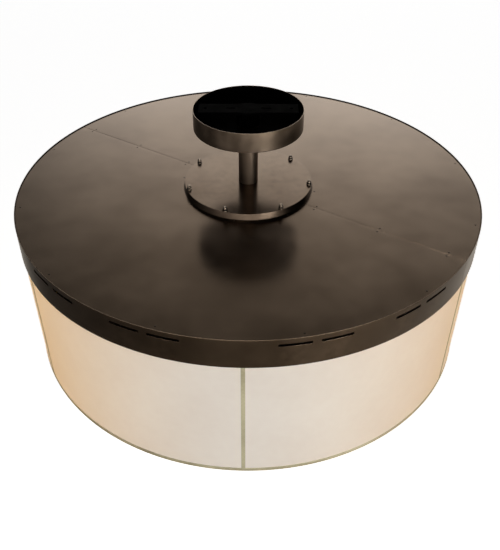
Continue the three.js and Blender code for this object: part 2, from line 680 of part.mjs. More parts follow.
// Pan-head screws from below through the hangers' feet. Their tips stop in the gap under the flange.
function shadeScrews() {
  const seat = footBottom - TOUCH_GAP;
  const tip = footTop;
  hangerAngles.forEach((angle, i) => {
    const profile = [
      [0, seat - SHADE_SCREW_HEAD_THICK],
      [SHADE_SCREW_HEAD_RADIUS, seat - SHADE_SCREW_HEAD_THICK],
      [SHADE_SCREW_HEAD_RADIUS, seat],
      [SHADE_SCREW_RADIUS, seat],
      [SHADE_SCREW_RADIUS, tip],
      [0, tip],
    ];
    const screw = standingAt(turned(profile, RIVET_CIRCLE), shadeScrewCircle, angle);
    add(`shade_screw_${i + 1}`, steel, made([screw]));
  });
}

function shadeBottomRing() {
  const ring = turned(
    [
      [lipInner, drumBottom],
      [shadeRadius, drumBottom],
      [shadeRadius, bottomRingTop],
      [frameInner, bottomRingTop],
      [frameInner, lipTop],
      [lipInner, lipTop],
    ],
    LARGE_CIRCLE,
    FRONT_STILE_ANGLE,
  );
  add("shade_bottom_ring", brass, made([ring]));
}

// An I section with a narrow outside face: the edges of two sheets lie in its sides.
function shadeStiles() {
  const top = shadeTop - TOP_RING_HEIGHT - TOUCH_GAP;
  const bottom = bottomRingTop + TOUCH_GAP;
  const [face, web, back] = [STILE_WIDTH / 2, STILE_WEB / 2, STILE_BACK_WIDTH / 2];
  const half = [
    [shadeRadius, face],
    [stileFaceInner, face],
    [stileFaceInner, web],
    [stileBackOuter, web],
    [stileBackOuter, back],
    [frameInner, back],
  ];
  const mirrored = half.map(([x, y]) => [x, -y]);
  const outline = [...half, ...mirrored.reverse()].map(([x, y]) => new THREE.Vector2(x, y));
  stileAngles.forEach((angle, i) => {
    add(`shade_stile_${i + 1}`, brass, made([facing(raised(outline, bottom, top), angle)]));
  });
}

// Thin curved sheets from stile to stile. Each follows the stile with its number, anticlockwise.
function shadePanels() {
  const top = shadeTop - TOP_RING_HEIGHT - TOUCH_GAP;
  const bottom = bottomRingTop + TOUCH_GAP;
  const steps = LARGE_CIRCLE / SHADE_PANELS;
  stileAngles.forEach((angle, i) => {
    const [from, to] = [angle + sheetMargin, angle + 360 / SHADE_PANELS - sheetMargin];
    const sheet = sector(sheetInner, sheetOuter, from, to, bottom, top, steps);
    add(`shade_panel_${i + 1}`, parchment, made([sheet]));
  });
}

// ---- Diffuser: two half discs that lie on the bottom ring's lip and on a T-shaped bar across it ----

const diffuserBottom = lipTop + TOUCH_GAP;

function diffuserCrossbar() {
  const between = chordReach(lipInner, CROSSBAR_FLANGE / 2, TOUCH_GAP);
  const overLip = chordReach(frameInner, CROSSBAR_WEB / 2, TOUCH_GAP);
  const flangeFace = drumBottom + CROSSBAR_FLANGE_THICK;
  const [flange, web] = [CROSSBAR_FLANGE / 2, CROSSBAR_WEB / 2];
  const bar = made([
    box(-between, between, -flange, flange, drumBottom, flangeFace),
    box(-between, between, -web, web, drumBottom, drumBottom + CROSSBAR_HEIGHT),
    box(-overLip, overLip, -web, web, diffuserBottom, drumBottom + CROSSBAR_HEIGHT),
  ]);
  add("diffuser_crossbar", brass, facing(bar, FRONT_STILE_ANGLE));
}

function diffusers() {
  const radius = frameInner * largeApothem - DIFFUSER_EDGE_GAP;
  const edge = CROSSBAR_WEB / 2 + DIFFUSER_EDGE_GAP;
  const start = THREE.MathUtils.radToDeg(Math.asin(edge / radius));
  [0, 180].forEach((turn, i) => {
    const outline = arc(radius, start, 180 - start, LARGE_CIRCLE / 2);
    const sheet = raised(outline, diffuserBottom, diffuserBottom + DIFFUSER_THICK);
    add(`diffuser_${i + 1}`, acrylic, made([facing(sheet, FRONT_STILE_ANGLE + turn)]));
  });
}

// ---- Lamps ----

const lampAngles = evenly(LAMP_COUNT, LAMP_FIRST_ANGLE);

// A wiring cup under the hub with an arm to each lampholder, welded together.
function lampSpider() {
  const inner = wiringCupRadius - WIRING_CUP_SHEET;
  const cup = turned(
    [
      [0, wiringCupBottom],
      [wiringCupRadius, wiringCupBottom],
      [wiringCupRadius, wiringCupTop],
      [inner, wiringCupTop],
      [inner, wiringCupBottom + WIRING_CUP_SHEET],
      [0, wiringCupBottom + WIRING_CUP_SHEET],
    ],
    MEDIUM_CIRCLE / 2,
  );
  const [low, high] = [armBottom, armBottom + ARM_HEIGHT];
  const arms = lampAngles.flatMap((angle) => [
    facing(box(inner + 1, lampCircle, -ARM_WIDTH / 2, ARM_WIDTH / 2, low, high), angle),
    standingAt(cylinder(LAMP_RING_RADIUS, low, low + ARM_HEIGHT / 2, SMALL_CIRCLE), lampCircle, angle),
  ]);
  const holes = lampAngles.map((angle) =>
    standingAt(
      cylinder(HOLDER_NIPPLE_RADIUS + HOLE_GAP, low - 1, high + 1, SMALL_CIRCLE),
      lampCircle,
      angle,
    ),
  );
  add("lamp_spider", bronze, made([cup, ...arms], holes));
}

function lampholders() {
  const bottom = holderTop - HOLDER_LENGTH;
  const mouthEnd = bottom + HOLDER_MOUTH_DEPTH;
  const nippleTop = holderTop + ARM_HEIGHT;
  const profile = [
    [0, mouthEnd],
    [HOLDER_MOUTH_RADIUS, mouthEnd],
    [HOLDER_MOUTH_RADIUS, bottom],
    [HOLDER_RADIUS, bottom],
    [HOLDER_RADIUS, holderTop - 8],
    [HOLDER_RADIUS - 6, holderTop],
    [HOLDER_NIPPLE_RADIUS, holderTop],
    [HOLDER_NIPPLE_RADIUS, nippleTop],
    [0, nippleTop],
  ];
  lampAngles.forEach((angle, i) => {
    const holder = standingAt(turned(profile, SMALL_CIRCLE), lampCircle, angle);
    add(`lampholder_${i + 1}`, porcelain, made([holder]));
  });
}

function bulbs() {
  const mouth = holderTop - HOLDER_LENGTH;
  const top = mouth + HOLDER_MOUTH_DEPTH - TOUCH_GAP * 2;
  const tip = top - BULB_LENGTH;
  const middle = tip + BULB_RADIUS;
  const bowl = [75, 50, 25, 0, -30].map((dip) => [
    BULB_RADIUS * Math.cos(radians(dip)),
    middle - BULB_RADIUS * Math.sin(radians(dip)),
  ]);
  const profile = [
    [0, tip],
    ...bowl,
    [BULB_BASE_RADIUS + 3, mouth - 10],
    [BULB_BASE_RADIUS, mouth - 1],
    [BULB_BASE_RADIUS, top - 4],
    [BULB_BASE_RADIUS / 2, top],
    [0, top],
  ];
  lampAngles.forEach((angle, i) => {
    const bulb = standingAt(turned(profile, SMALL_CIRCLE), lampCircle, angle);
    add(`bulb_${i + 1}`, glass, made([bulb]));
  });
}

ceilingBracket();
crossBolt();
stem();
stemLocknut();
canopy();
canopyCollar();
collarThumbScrew();
mountingCover();
hubPlate();
acornNuts();
capHalves();
seamSplices();
skirtHalves();
skirtJointPlates();
shadeTopRing();
shadeScrews();
shadeBottomRing();
shadeStiles();
shadePanels();
diffuserCrossbar();
diffusers();
lampSpider();
lampholders();
bulbs();

export default fixture;
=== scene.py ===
# %% [markdown]
# # A large drum ceiling light
#
# The light hangs from a ceiling bracket on a short steel stem. A cup canopy hides the bracket. The stem
# carries a flat round cap with a slotted skirt, and a six-panel shade hangs inside the skirt. The packed
# model holds the sizes and the joints, so this lesson only gives each piece its fine surface and finish.
# %% Load the frame
import math

import bmesh
import bpy
from mathutils import Matrix, Vector


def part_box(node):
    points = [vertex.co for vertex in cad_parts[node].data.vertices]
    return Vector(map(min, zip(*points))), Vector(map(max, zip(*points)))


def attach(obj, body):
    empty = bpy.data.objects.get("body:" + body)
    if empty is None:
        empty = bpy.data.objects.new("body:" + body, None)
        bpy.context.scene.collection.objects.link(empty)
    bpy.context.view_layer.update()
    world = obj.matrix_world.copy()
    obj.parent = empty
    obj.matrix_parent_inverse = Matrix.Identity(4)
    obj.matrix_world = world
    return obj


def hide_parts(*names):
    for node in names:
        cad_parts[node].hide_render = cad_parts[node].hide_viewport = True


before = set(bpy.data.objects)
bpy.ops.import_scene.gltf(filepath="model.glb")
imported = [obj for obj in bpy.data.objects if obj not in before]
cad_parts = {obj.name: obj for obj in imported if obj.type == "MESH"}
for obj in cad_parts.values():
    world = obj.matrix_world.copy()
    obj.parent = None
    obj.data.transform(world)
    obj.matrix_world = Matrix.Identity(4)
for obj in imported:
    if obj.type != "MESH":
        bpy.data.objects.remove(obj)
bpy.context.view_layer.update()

# %% [markdown]
# ## The camera
#
# The view looks down on the front of the light from above the ceiling line, as a catalogue shows the cap.
# A camera turns its own -Z to the front and its +Y up, so its matrix is built from those two directions.
# %% Camera
CAMERA_FORWARD = Vector((0.00272, 0.78414, -0.62058))
CAMERA_UP = Vector((-0.00189, 0.62059, 0.78414))
CAMERA_BACK_FROM_AXIS = 1.636
CAMERA_ABOVE_CEILING = 0.7633
CAMERA_LENS = 46.035

camera = bpy.data.objects.new("camera", bpy.data.cameras.new("camera"))
camera.data.lens = CAMERA_LENS
camera.data.clip_end = 50
camera_right = CAMERA_FORWARD.cross(CAMERA_UP).normalized()
camera_axes = Matrix((camera_right, camera_right.cross(CAMERA_FORWARD), -CAMERA_FORWARD)).transposed()
camera.matrix_world = Matrix.LocRotScale(
    (0, -CAMERA_BACK_FROM_AXIS, CAMERA_ABOVE_CEILING), camera_axes.to_quaternion(), None
)
bpy.context.scene.collection.objects.link(camera)
bpy.context.scene.camera = camera
print("camera at", tuple(round(v, 3) for v in camera.matrix_world.translation))

# %% [markdown]
# ## The studio
#
# Dark satin metal has little colour of its own: it shows the room. So the room decides how the cap looks.
# A white floor lies far below the light. It shows to the camera only, so that what the metal reflects is
# set by the room alone. That is the same as the black and white cards that hang round a metal product.
# %% Floor
FLOOR_DROP = 4.0
FLOOR_HALF = 22.0
FLOOR_GLOW = 0.95

floor_mesh = bpy.data.meshes.new("floor")
floor_bm = bmesh.new()
bmesh.ops.create_grid(floor_bm, x_segments=1, y_segments=1, size=FLOOR_HALF)
bmesh.ops.translate(floor_bm, verts=floor_bm.verts, vec=(0, 0, -FLOOR_DROP))
floor_bm.to_mesh(floor_mesh)
floor_bm.free()
floor = bpy.data.objects.new("floor", floor_mesh)
bpy.context.scene.collection.objects.link(floor)
floor_material = bpy.data.materials.new("floor_white")
floor_material.use_nodes = True
floor_shader = floor_material.node_tree.nodes["Principled BSDF"]
floor_shader.inputs["Base Color"].default_value = (0.9, 0.9, 0.9, 1)
floor_shader.inputs["Roughness"].default_value = 0.9
floor_shader.inputs["Emission Color"].default_value = (1, 1, 1, 1)
floor_shader.inputs["Emission Strength"].default_value = FLOOR_GLOW
floor_mesh.materials.append(floor_material)
floor.visible_glossy = False
floor.visible_diffuse = False
print("floor at", -FLOOR_DROP)

# %% [markdown]
# The room is a sphere of light that is painted by direction. Each part of it is a ramp over the height of
# the direction, times a ramp over its bearing. A bearing of 0 is the back, +Y; 90 degrees is the right,
# +X. The back wall is bright near eye level and dim overhead, so the cap is light at the back and dark at
# the front. Upright walls show the low part. The front wall shows only where a surface is rounded or leans:
# in the corners, the nuts and the wall of the mounting cover.
# %% Node helpers


def plug(tree, value, target):
    """Links another node's output to an input, or sets the input to a plain number or colour."""
    if isinstance(value, bpy.types.NodeSocket):
        tree.links.new(value, target)
    else:
        target.default_value = (*value, 1) if isinstance(value, tuple) else value


def node(tree, kind, **settings):
    """A new node with its settings."""
    made = tree.nodes.new(kind)
    for name, value in settings.items():
        setattr(made, name, value)
    return made


def ramp(tree, factor, stops):
    """A grey ramp over a factor from 0 to 1."""
    made = node(tree, "ShaderNodeValToRGB")
    elements = made.color_ramp.elements
    while len(elements) > 1:
        elements.remove(elements[-1])
    for index, (position, level) in enumerate(stops):
        stop = elements[0] if index == 0 else elements.new(position)
        stop.position = position
        stop.color = (level, level, level, 1)
    plug(tree, factor, made.inputs["Fac"])
    return made.outputs["Color"]


def math_node(tree, operation, *values):
    """A Math node whose inputs are numbers or other nodes' outputs."""
    made = node(tree, "ShaderNodeMath", operation=operation)
    for socket, value in zip(made.inputs, values):
        plug(tree, value, socket)
    return made.outputs[0]


def mix_colours(tree, mask, first, second, blend_type="MIX"):
    """Blends two colours, or two colour outputs, by a mask or a plain number."""
    made = node(tree, "ShaderNodeMix", data_type="RGBA", blend_type=blend_type)
    # A Mix node has sockets for every kind of data. Those for colours are inputs 6 and 7 and output 2.
    for label, value in (("Factor", mask), (6, first), (7, second)):
        plug(tree, value, made.inputs[label])
    return made.outputs[2]


def map_range(tree, value, low=0.0, high=1.0, to=(0.0, 1.0), kind="LINEAR"):
    """Maps a value from one range to another, and holds it at the ends."""
    made = node(tree, "ShaderNodeMapRange", interpolation_type=kind)
    limits = {"Value": value, "From Min": low, "From Max": high, "To Min": to[0], "To Max": to[1]}
    for label, limit in limits.items():
        plug(tree, limit, made.inputs[label])
    return made.outputs["Result"]


# %% Room
# Each level is an elevation or a bearing in degrees, and the brightness there.
BACK_BY_HEIGHT = [(-2, 0.0), (4, 2.6), (22, 2.6), (25, 2.2), (27.7, 1.65), (30, 1.3), (33.8, 0.85)]
BACK_BY_HEIGHT += [(36.4, 0.67), (39.3, 0.4), (45, 0.18), (90, 0.1)]
BACK_BY_BEARING = [(-60, 0.0), (-24, 0.25), (-9, 1.12), (0, 1.2), (13, 1.26)]
BACK_BY_BEARING += [(20, 0.85), (30, 0.55), (70, 0.0)]
FRONT_BY_HEIGHT = [(-18, 0.0), (-14, 1.0), (10, 1.0), (15, 0.03), (60, 0.02), (80, 0.01)]
FRONT_BY_BEARING = [(-180, 5.0), (-150, 2.6), (-120, 0.9), (-60, 0.25), (-35, 0)]
FRONT_BY_BEARING += [(35, 0), (110, 0.1), (140, 3.6), (180, 5.0)]
LOW_BY_HEIGHT = [(-75, 0.2), (-55, 1.0), (-8, 1.0), (0, 0.0)]
LOW_BY_BEARING = [(-180, 0.27), (-121, 0.11), (-51, 0.07), (-34, 0.85), (-28, 1.3)]
LOW_BY_BEARING += [(24, 1.5), (40, 0.85), (65, 0.42), (128, 0.52), (180, 0.27)]
BACK_TINT = (1.0, 0.975, 0.93)
FRONT_TINT = (0.97, 0.98, 1.0)
LOW_TINT = (1.0, 0.93, 0.82)
LEVEL_SCALE = 4.0


def height_share(degrees):
    """Where an elevation lies on a ramp over the direction's height."""
    return (math.sin(math.radians(degrees)) + 1) / 2


def bearing_share(degrees):
    """Where a bearing lies on a ramp over the whole turn."""
    return degrees / 360 + 0.5


def room_part(tree, height, bearing, by_height, by_bearing, tint):
    """One part of the room as a colour. Its levels are kept small on the ramps, by the scale."""
    rows = ramp(tree, height, [(height_share(angle), level / LEVEL_SCALE) for angle, level in by_height])
    turns = ramp(tree, bearing, [(bearing_share(angle), level / LEVEL_SCALE) for angle, level in by_bearing])
    return mix_colours(tree, 1.0, mix_colours(tree, 1.0, rows, turns, "MULTIPLY"), tint, "MULTIPLY")


world = bpy.data.worlds.new("room")
world.use_nodes = True
bpy.context.scene.world = world
room = world.node_tree
room.nodes.clear()
room_way = node(room, "ShaderNodeSeparateXYZ")
plug(room, node(room, "ShaderNodeTexCoord").outputs["Generated"], room_way.inputs["Vector"])
room_height = math_node(room, "MULTIPLY_ADD", room_way.outputs["Z"], 0.5, 0.5)
room_turn = math_node(room, "ARCTAN2", room_way.outputs["X"], room_way.outputs["Y"])
room_bearing = math_node(room, "MULTIPLY_ADD", room_turn, 1 / math.tau, 0.5)
room_colour = room_part(room, room_height, room_bearing, BACK_BY_HEIGHT, BACK_BY_BEARING, BACK_TINT)
for levels in ((FRONT_BY_HEIGHT, FRONT_BY_BEARING, FRONT_TINT), (LOW_BY_HEIGHT, LOW_BY_BEARING, LOW_TINT)):
    added = room_part(room, room_height, room_bearing, *levels)
    room_colour = mix_colours(room, 1.0, room_colour, added, "ADD")
room_light = node(room, "ShaderNodeBackground")
plug(room, room_colour, room_light.inputs["Color"])
room_light.inputs["Strength"].default_value = LEVEL_SCALE * LEVEL_SCALE
# The camera sees plain white above the floor's far edge. Matt surfaces are left to the fills.
world.cycles_visibility.diffuse = False
room_white = node(room, "ShaderNodeBackground")
room_choice = node(room, "ShaderNodeMixShader")
room_white.inputs["Color"].default_value = (1, 1, 1, 1)
plug(room, node(room, "ShaderNodeLightPath").outputs["Is Camera Ray"], room_choice.inputs["Fac"])
plug(room, room_light.outputs["Background"], room_choice.inputs[1])
plug(room, room_white.outputs["Background"], room_choice.inputs[2])
plug(room, room_choice.outputs["Shader"], node(room, "ShaderNodeOutputWorld").inputs["Surface"])
print("room parts", len(BACK_BY_BEARING), len(FRONT_BY_BEARING), len(LOW_BY_BEARING))

# %% [markdown]
# The key light stands low in front and to the right. It is the bright upright band on the canopy and the
# stem. Only metal shows it. A small lamp overhead puts the points of light on the nuts and the canopy's
# rim. Four fills, which no metal shows, light the shade: a cool one in front, warm ones at the sides and
# a faintly warm one behind.
# %% Soft boxes
SHADE_MIDDLE = Vector((0, 0, -0.45))


def soft_box(name, place, aim, width, height, power, tint, lights):
    """A rectangular area light that faces its aim. It lights either "gloss" or "matt"."""
    lamp = bpy.data.lights.new(name, "AREA")
    lamp.shape = "RECTANGLE"
    lamp.size = width
    lamp.size_y = height
    lamp.energy = power
    lamp.color = tint
    holder = bpy.data.objects.new(name, lamp)
    toward = Vector(aim) - Vector(place)
    holder.matrix_world = Matrix.LocRotScale(Vector(place), toward.to_track_quat("-Z", "Y"), None)
    holder.visible_glossy = lights == "gloss"
    holder.visible_diffuse = lights == "matt"
    bpy.context.scene.collection.objects.link(holder)
    print(name, "power", power)


soft_box("key_box", (1.6, -2.5, -0.35), (0, 0, -0.1), 1.2, 0.9, 54, (0.93, 0.98, 1.0), "gloss")
soft_box("top_box", (-0.35, -0.5, 2.6), (0, 0, -0.2), 1.0, 1.0, 55, (1, 0.98, 0.95), "gloss")
soft_box("front_fill", (0.4, -3.2, -0.3), SHADE_MIDDLE, 2.0, 1.2, 68, (0.89, 0.94, 1.0), "matt")
soft_box("left_fill", (-3.2, -0.2, -0.6), SHADE_MIDDLE, 1.2, 1.2, 62, (1, 0.70, 0.37), "matt")
soft_box("right_fill", (3.2, -0.3, -0.6), SHADE_MIDDLE, 1.2, 1.2, 41, (1, 0.63, 0.22), "matt")
soft_box("back_fill", (0, 3.2, -0.4), SHADE_MIDDLE, 2.0, 1.2, 60, (1, 0.93, 0.85), "matt")

# %% [markdown]
# ## Shared effects
#
# Painted metal, parchment, acrylic and glazed china all vary in soft clouds and carry a fine grain. The
# clouds and the grain are two node groups, built once, and each material places them with its own scale.
# A third group finds worn edges: Pointiness is above a half on the outside of an edge. A fourth is the slow
# wave of sheet metal. Each group turns a place, and numbers such as a scale, into one mask or height.
# %% Node groups
OUTSIDE_EDGE = 0.515


def group_tree(name, result, **numbers):
    """A shader node group with its sockets. Returns it with the nodes for its inputs and its result."""
    tree = bpy.data.node_groups.new(name, "ShaderNodeTree")
    tree.interface.new_socket("Vector", in_out="INPUT", socket_type="NodeSocketVector")
    for label, value in numbers.items():
        label = label.replace("_", " ")
        tree.interface.new_socket(label, in_out="INPUT", socket_type="NodeSocketFloat").default_value = value
    tree.interface.new_socket(result, in_out="OUTPUT", socket_type="NodeSocketFloat")
    return tree, tree.nodes.new("NodeGroupInput"), tree.nodes.new("NodeGroupOutput")


def add_noise(tree, vector, scale, detail, roughness=0.5):
    """Noise from 0 to 1."""
    noise = node(tree, "ShaderNodeTexNoise", noise_dimensions="3D")
    settings = {"Vector": vector, "Scale": scale, "Detail": detail, "Roughness": roughness}
    for label, value in settings.items():
        plug(tree, value, noise.inputs[label])
    return noise.outputs["Fac"]


def make_clouds():
    """Soft noise as a mask from 0 to 1."""
    tree, source, sink = group_tree("soft_clouds", "Mask", Scale=4.0, Softness=0.22)
    noise = add_noise(tree, source.outputs["Vector"], source.outputs["Scale"], 3, 0.45)
    low = math_node(tree, "SUBTRACT", 0.5, source.outputs["Softness"])
    high = math_node(tree, "ADD", 0.5, source.outputs["Softness"])
    plug(tree, map_range(tree, noise, low, high, kind="SMOOTHSTEP"), sink.inputs["Mask"])
    return tree


def make_height(name, scale, detail):
    """Plain noise as a height from 0 to 1."""
    tree, source, sink = group_tree(name, "Height", Scale=scale)
    noise = add_noise(tree, source.outputs["Vector"], source.outputs["Scale"], detail)
    plug(tree, noise, sink.inputs["Height"])
    return tree


def make_edge_rub():
    """A mask that is 1 on worn outside edges, broken up by noise."""
    tree, source, sink = group_tree("edge_rub", "Mask", Reach=0.06)
    pointed = node(tree, "ShaderNodeNewGeometry").outputs["Pointiness"]
    worn_through = math_node(tree, "ADD", OUTSIDE_EDGE, source.outputs["Reach"])
    edge = map_range(tree, pointed, OUTSIDE_EDGE, worn_through, kind="SMOOTHSTEP")
    broken = map_range(tree, add_noise(tree, source.outputs["Vector"], 60, 2), 0.3, 0.6)
    plug(tree, math_node(tree, "MULTIPLY", edge, broken), sink.inputs["Mask"])
    return tree


CLOUDS = make_clouds()
GRAIN = make_height("fine_grain", 900.0, 1)
EDGE_RUB = make_edge_rub()
SLOW_WAVE = make_height("slow_wave", 3.0, 0)
print("groups", [tree.name for tree in bpy.data.node_groups])

# %% [markdown]
# ## Finishes
#
# Each finish is one Principled BSDF. Numbers that are the same all over are set on its sockets. Only what
# varies over the surface is linked: the base colour, the roughness and the normal.
# %% Material helpers


def new_finish(name, **sockets):
    """A material with its shader's plain sockets set, its tree, its shader and the place on it."""
    material = bpy.data.materials.new(name)
    material.use_nodes = True
    tree = material.node_tree
    shader = tree.nodes["Principled BSDF"]
    for label, value in sockets.items():
        shader.inputs[label.replace("_", " ")].default_value = value
    return material, tree, shader, node(tree, "ShaderNodeTexCoord").outputs["Object"]


def place_group(tree, group, vector, **values):
    """A copy of a node group in a material, with its own values."""
    made = node(tree, "ShaderNodeGroup", node_tree=group)
    plug(tree, vector, made.inputs["Vector"])
    for label, value in values.items():
        made.inputs[label].default_value = value
    return made.outputs[0]


def cloudy(tree, vector, scale, softness):
    """The soft clouds at one scale."""
    return place_group(tree, CLOUDS, vector, Scale=scale, Softness=softness)


def weigh(tree, first, second, share):
    """Adds two masks, with this share of the second one and the rest of the first."""
    return math_node(tree, "MULTIPLY_ADD", second, share, math_node(tree, "MULTIPLY", first, 1 - share))


def vary(tree, shader, mask, dark, light, gloss):
    """Lets a mask set the base colour, between two, and the roughness, from the lowest to the highest."""
    plug(tree, mix_colours(tree, mask, dark, light), shader.inputs["Base Color"])
    plug(tree, map_range(tree, mask, to=gloss), shader.inputs["Roughness"])


def bumped(tree, shader, *layers):
    """Chains Bump nodes, each a (height, strength, distance) layer, into the shader's normal."""
    normal = None
    for height, strength, distance in layers:
        bump = node(tree, "ShaderNodeBump")
        bump.inputs["Strength"].default_value = strength
        bump.inputs["Distance"].default_value = distance
        plug(tree, height, bump.inputs["Height"])
        if normal is not None:
            plug(tree, normal, bump.inputs["Normal"])
        normal = bump.outputs["Normal"]
    plug(tree, normal, shader.inputs["Normal"])


# %% [markdown]
# ### Dark bronze enamel
#
# The metal is sprayed a very dark brown and rubbed to a satin shine. On the wide cap the sheet is never
# dead flat, so a broad, slow wave in the normal bends what it reflects. Narrow pieces get no wave.
# %% Bronze
STREAKS_PER_CLOUD = 4.3
WORN_GAIN = 2.6
WORN_SHARE = 0.5


def bronze(name, dark, light, gloss, wave=0.0, cloud_scale=5.0, grain_depth=0.04):
    """Satin dark bronze enamel. gloss is (lowest, highest) roughness, wave the height of the waves."""
    material, tree, shader, place = new_finish(name, Metallic=1.0)
    clouds = cloudy(tree, place, cloud_scale, 0.2)
    streaks = cloudy(tree, place, cloud_scale * STREAKS_PER_CLOUD, 0.25)
    blend = weigh(tree, clouds, streaks, 0.35)
    rub = math_node(tree, "MULTIPLY", place_group(tree, EDGE_RUB, place, Reach=0.08), WORN_SHARE)
    worn = tuple(min(1.0, part * WORN_GAIN) for part in light)
    colour = mix_colours(tree, rub, mix_colours(tree, blend, dark, light), worn)
    plug(tree, colour, shader.inputs["Base Color"])
    plug(tree, map_range(tree, blend, to=gloss), shader.inputs["Roughness"])
    layers = [(place_group(tree, GRAIN, place, Scale=1400.0), grain_depth, 0.0002)]
    if wave:
        layers.insert(0, (place_group(tree, SLOW_WAVE, place, Scale=3.0), 1.0, wave))
    bumped(tree, shader, *layers)
    return material


CAP_BRONZE = bronze(
    "cap_bronze", (0.085, 0.060, 0.041), (0.120, 0.087, 0.061), (0.16, 0.24), wave=0.0008, grain_depth=0.01
)
SKIRT_BRONZE = bronze("skirt_bronze", (0.078, 0.053, 0.034), (0.105, 0.073, 0.048), (0.28, 0.38))
CUP_BRONZE = bronze("cup_bronze", (0.135, 0.097, 0.067), (0.185, 0.135, 0.095), (0.28, 0.37), cloud_scale=12)
STEM_BRONZE = bronze("stem_bronze", (0.27, 0.195, 0.137), (0.35, 0.255, 0.18), (0.28, 0.35), cloud_scale=12)
NUT_BRONZE = bronze("nut_bronze", (0.13, 0.101, 0.075), (0.18, 0.142, 0.108), (0.07, 0.11), cloud_scale=60)
FRAME_BRONZE = bronze(
    "frame_bronze", (0.05, 0.036, 0.025), (0.075, 0.055, 0.038), (0.32, 0.45), cloud_scale=18
)
RIVET_BRONZE = bronze(
    "rivet_bronze", (0.006, 0.0045, 0.003), (0.011, 0.008, 0.0055), (0.5, 0.65), cloud_scale=80
)

# %% [markdown]
# ### Shadow black, zinc and antique brass
#
# Shadow black is black paint made darker and duller than paint can be, so part of its dark is painted shade.
# It takes almost all the light inside the canopy. Zinc plate shows the crystals of the plating, which a
# Voronoi texture gives. The shade's strips are brass that has been aged to a dull olive.
# %% Other metals


def shadow_black(name, level):
    """Black paint darker and duller than real paint, partly painted shade, with a faint dusting."""
    material, tree, shader, place = new_finish(name, IOR=1.06)
    dark, dusty = (level * 0.7,) * 3, (level * 1.3, level * 1.22, level * 1.1)
    vary(tree, shader, cloudy(tree, place, 30.0, 0.3), dark, dusty, (0.8, 0.95))
    bumped(tree, shader, (place_group(tree, GRAIN, place, Scale=1100.0), 0.15, 0.0002))
    return material


def zinc_plate():
    """Bright zinc with soft crystals and a fine grain."""
    material, tree, shader, place = new_finish("zinc_plate", Metallic=1.0)
    crystals = node(tree, "ShaderNodeTexVoronoi", feature="SMOOTH_F1")
    crystals.inputs["Scale"].default_value = 130
    plug(tree, place, crystals.inputs["Vector"])
    tone = map_range(tree, crystals.outputs["Distance"])
    vary(tree, shader, tone, (0.50, 0.50, 0.49), (0.66, 0.66, 0.67), (0.28, 0.46))
    bumped(tree, shader, (place_group(tree, GRAIN, place, Scale=1500.0), 0.05, 0.0002))
    return material


def aged_brass():
    """Dull olive brass, darker where the ageing pooled."""
    material, tree, shader, place = new_finish("aged_brass", Metallic=0.55)
    blend = weigh(tree, cloudy(tree, place, 14.0, 0.3), cloudy(tree, place, 160.0, 0.2), 0.3)
    vary(tree, shader, blend, (0.40, 0.34, 0.20), (0.56, 0.49, 0.31), (0.42, 0.60))
    bumped(tree, shader, (place_group(tree, GRAIN, place, Scale=1200.0), 0.08, 0.0003))
    return material


# These blacks are darker and duller than paint, so part of their dark is painted shade.
CUP_SHADOW_BLACK = shadow_black("cup_shadow_black", 0.0018)
BRACKET_SHADOW_BLACK = shadow_black("bracket_shadow_black", 0.0024)
LINING_SHADOW_BLACK = shadow_black("lining_shadow_black", 0.006)
ZINC = zinc_plate()
BRASS = aged_brass()

# %% [markdown]
# ### Parchment, acrylic, china and glass
#
# The shade's sheets are a parchment laminate: cream and faintly cloudy. Their outer faces carry a painted
# glow, an emission that stands in for light coming through the sheet, for the bulbs are unlit. It is a little
# stronger in front of each lamp. Each lamp stands behind the middle of a sheet, so the glow follows the
# cosine of six times the angle round the drum.
# %% Lit sheets
FRONT_STILE = math.radians(-91)
PANELS = 6
LAMP_CIRCLE = 0.33
LAMP_ANGLES = [FRONT_STILE + math.tau * (i + 0.5) / PANELS for i in range(PANELS)]
shade_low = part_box("shade_panel_1")[0].z
shade_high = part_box("shade_panel_1")[1].z


def make_painted_panel_glow():
    """Mask of the painted glow: 1 in front of a lamp, at its height, falling towards the stiles and rings."""
    tree, source, sink = group_tree(
        "painted_panel_glow", "Mask", Front_Angle=FRONT_STILE, Low=shade_low, High=shade_high
    )
    parts = node(tree, "ShaderNodeSeparateXYZ")
    plug(tree, source.outputs["Vector"], parts.inputs["Vector"])
    angle = math_node(tree, "ARCTAN2", parts.outputs["Y"], parts.outputs["X"])
    turned = math_node(tree, "SUBTRACT", angle, source.outputs["Front Angle"])
    wave = math_node(tree, "COSINE", math_node(tree, "MULTIPLY", turned, PANELS))
    across = math_node(tree, "MULTIPLY_ADD", wave, -0.5, 0.5)
    up = map_range(tree, parts.outputs["Z"], source.outputs["Low"], source.outputs["High"])
    arch = math_node(tree, "SINE", math_node(tree, "MULTIPLY", up, math.pi))
    plug(tree, math_node(tree, "MULTIPLY", across, arch), sink.inputs["Mask"])
    return tree


PAINTED_PANEL_GLOW = make_painted_panel_glow()
# The parchment glow is painted light: the bulbs are unlit.
PAINTED_PARCHMENT_GLOW = 0.085
# The acrylic glow is painted light too: soft pools under the unlit lamps.
PAINTED_ACRYLIC_GLOW = 0.55
LAMP_HEIGHT = -0.55
PAINTED_POOL_EDGE = 0.42
PAINTED_POOL_MIDDLE = 0.08


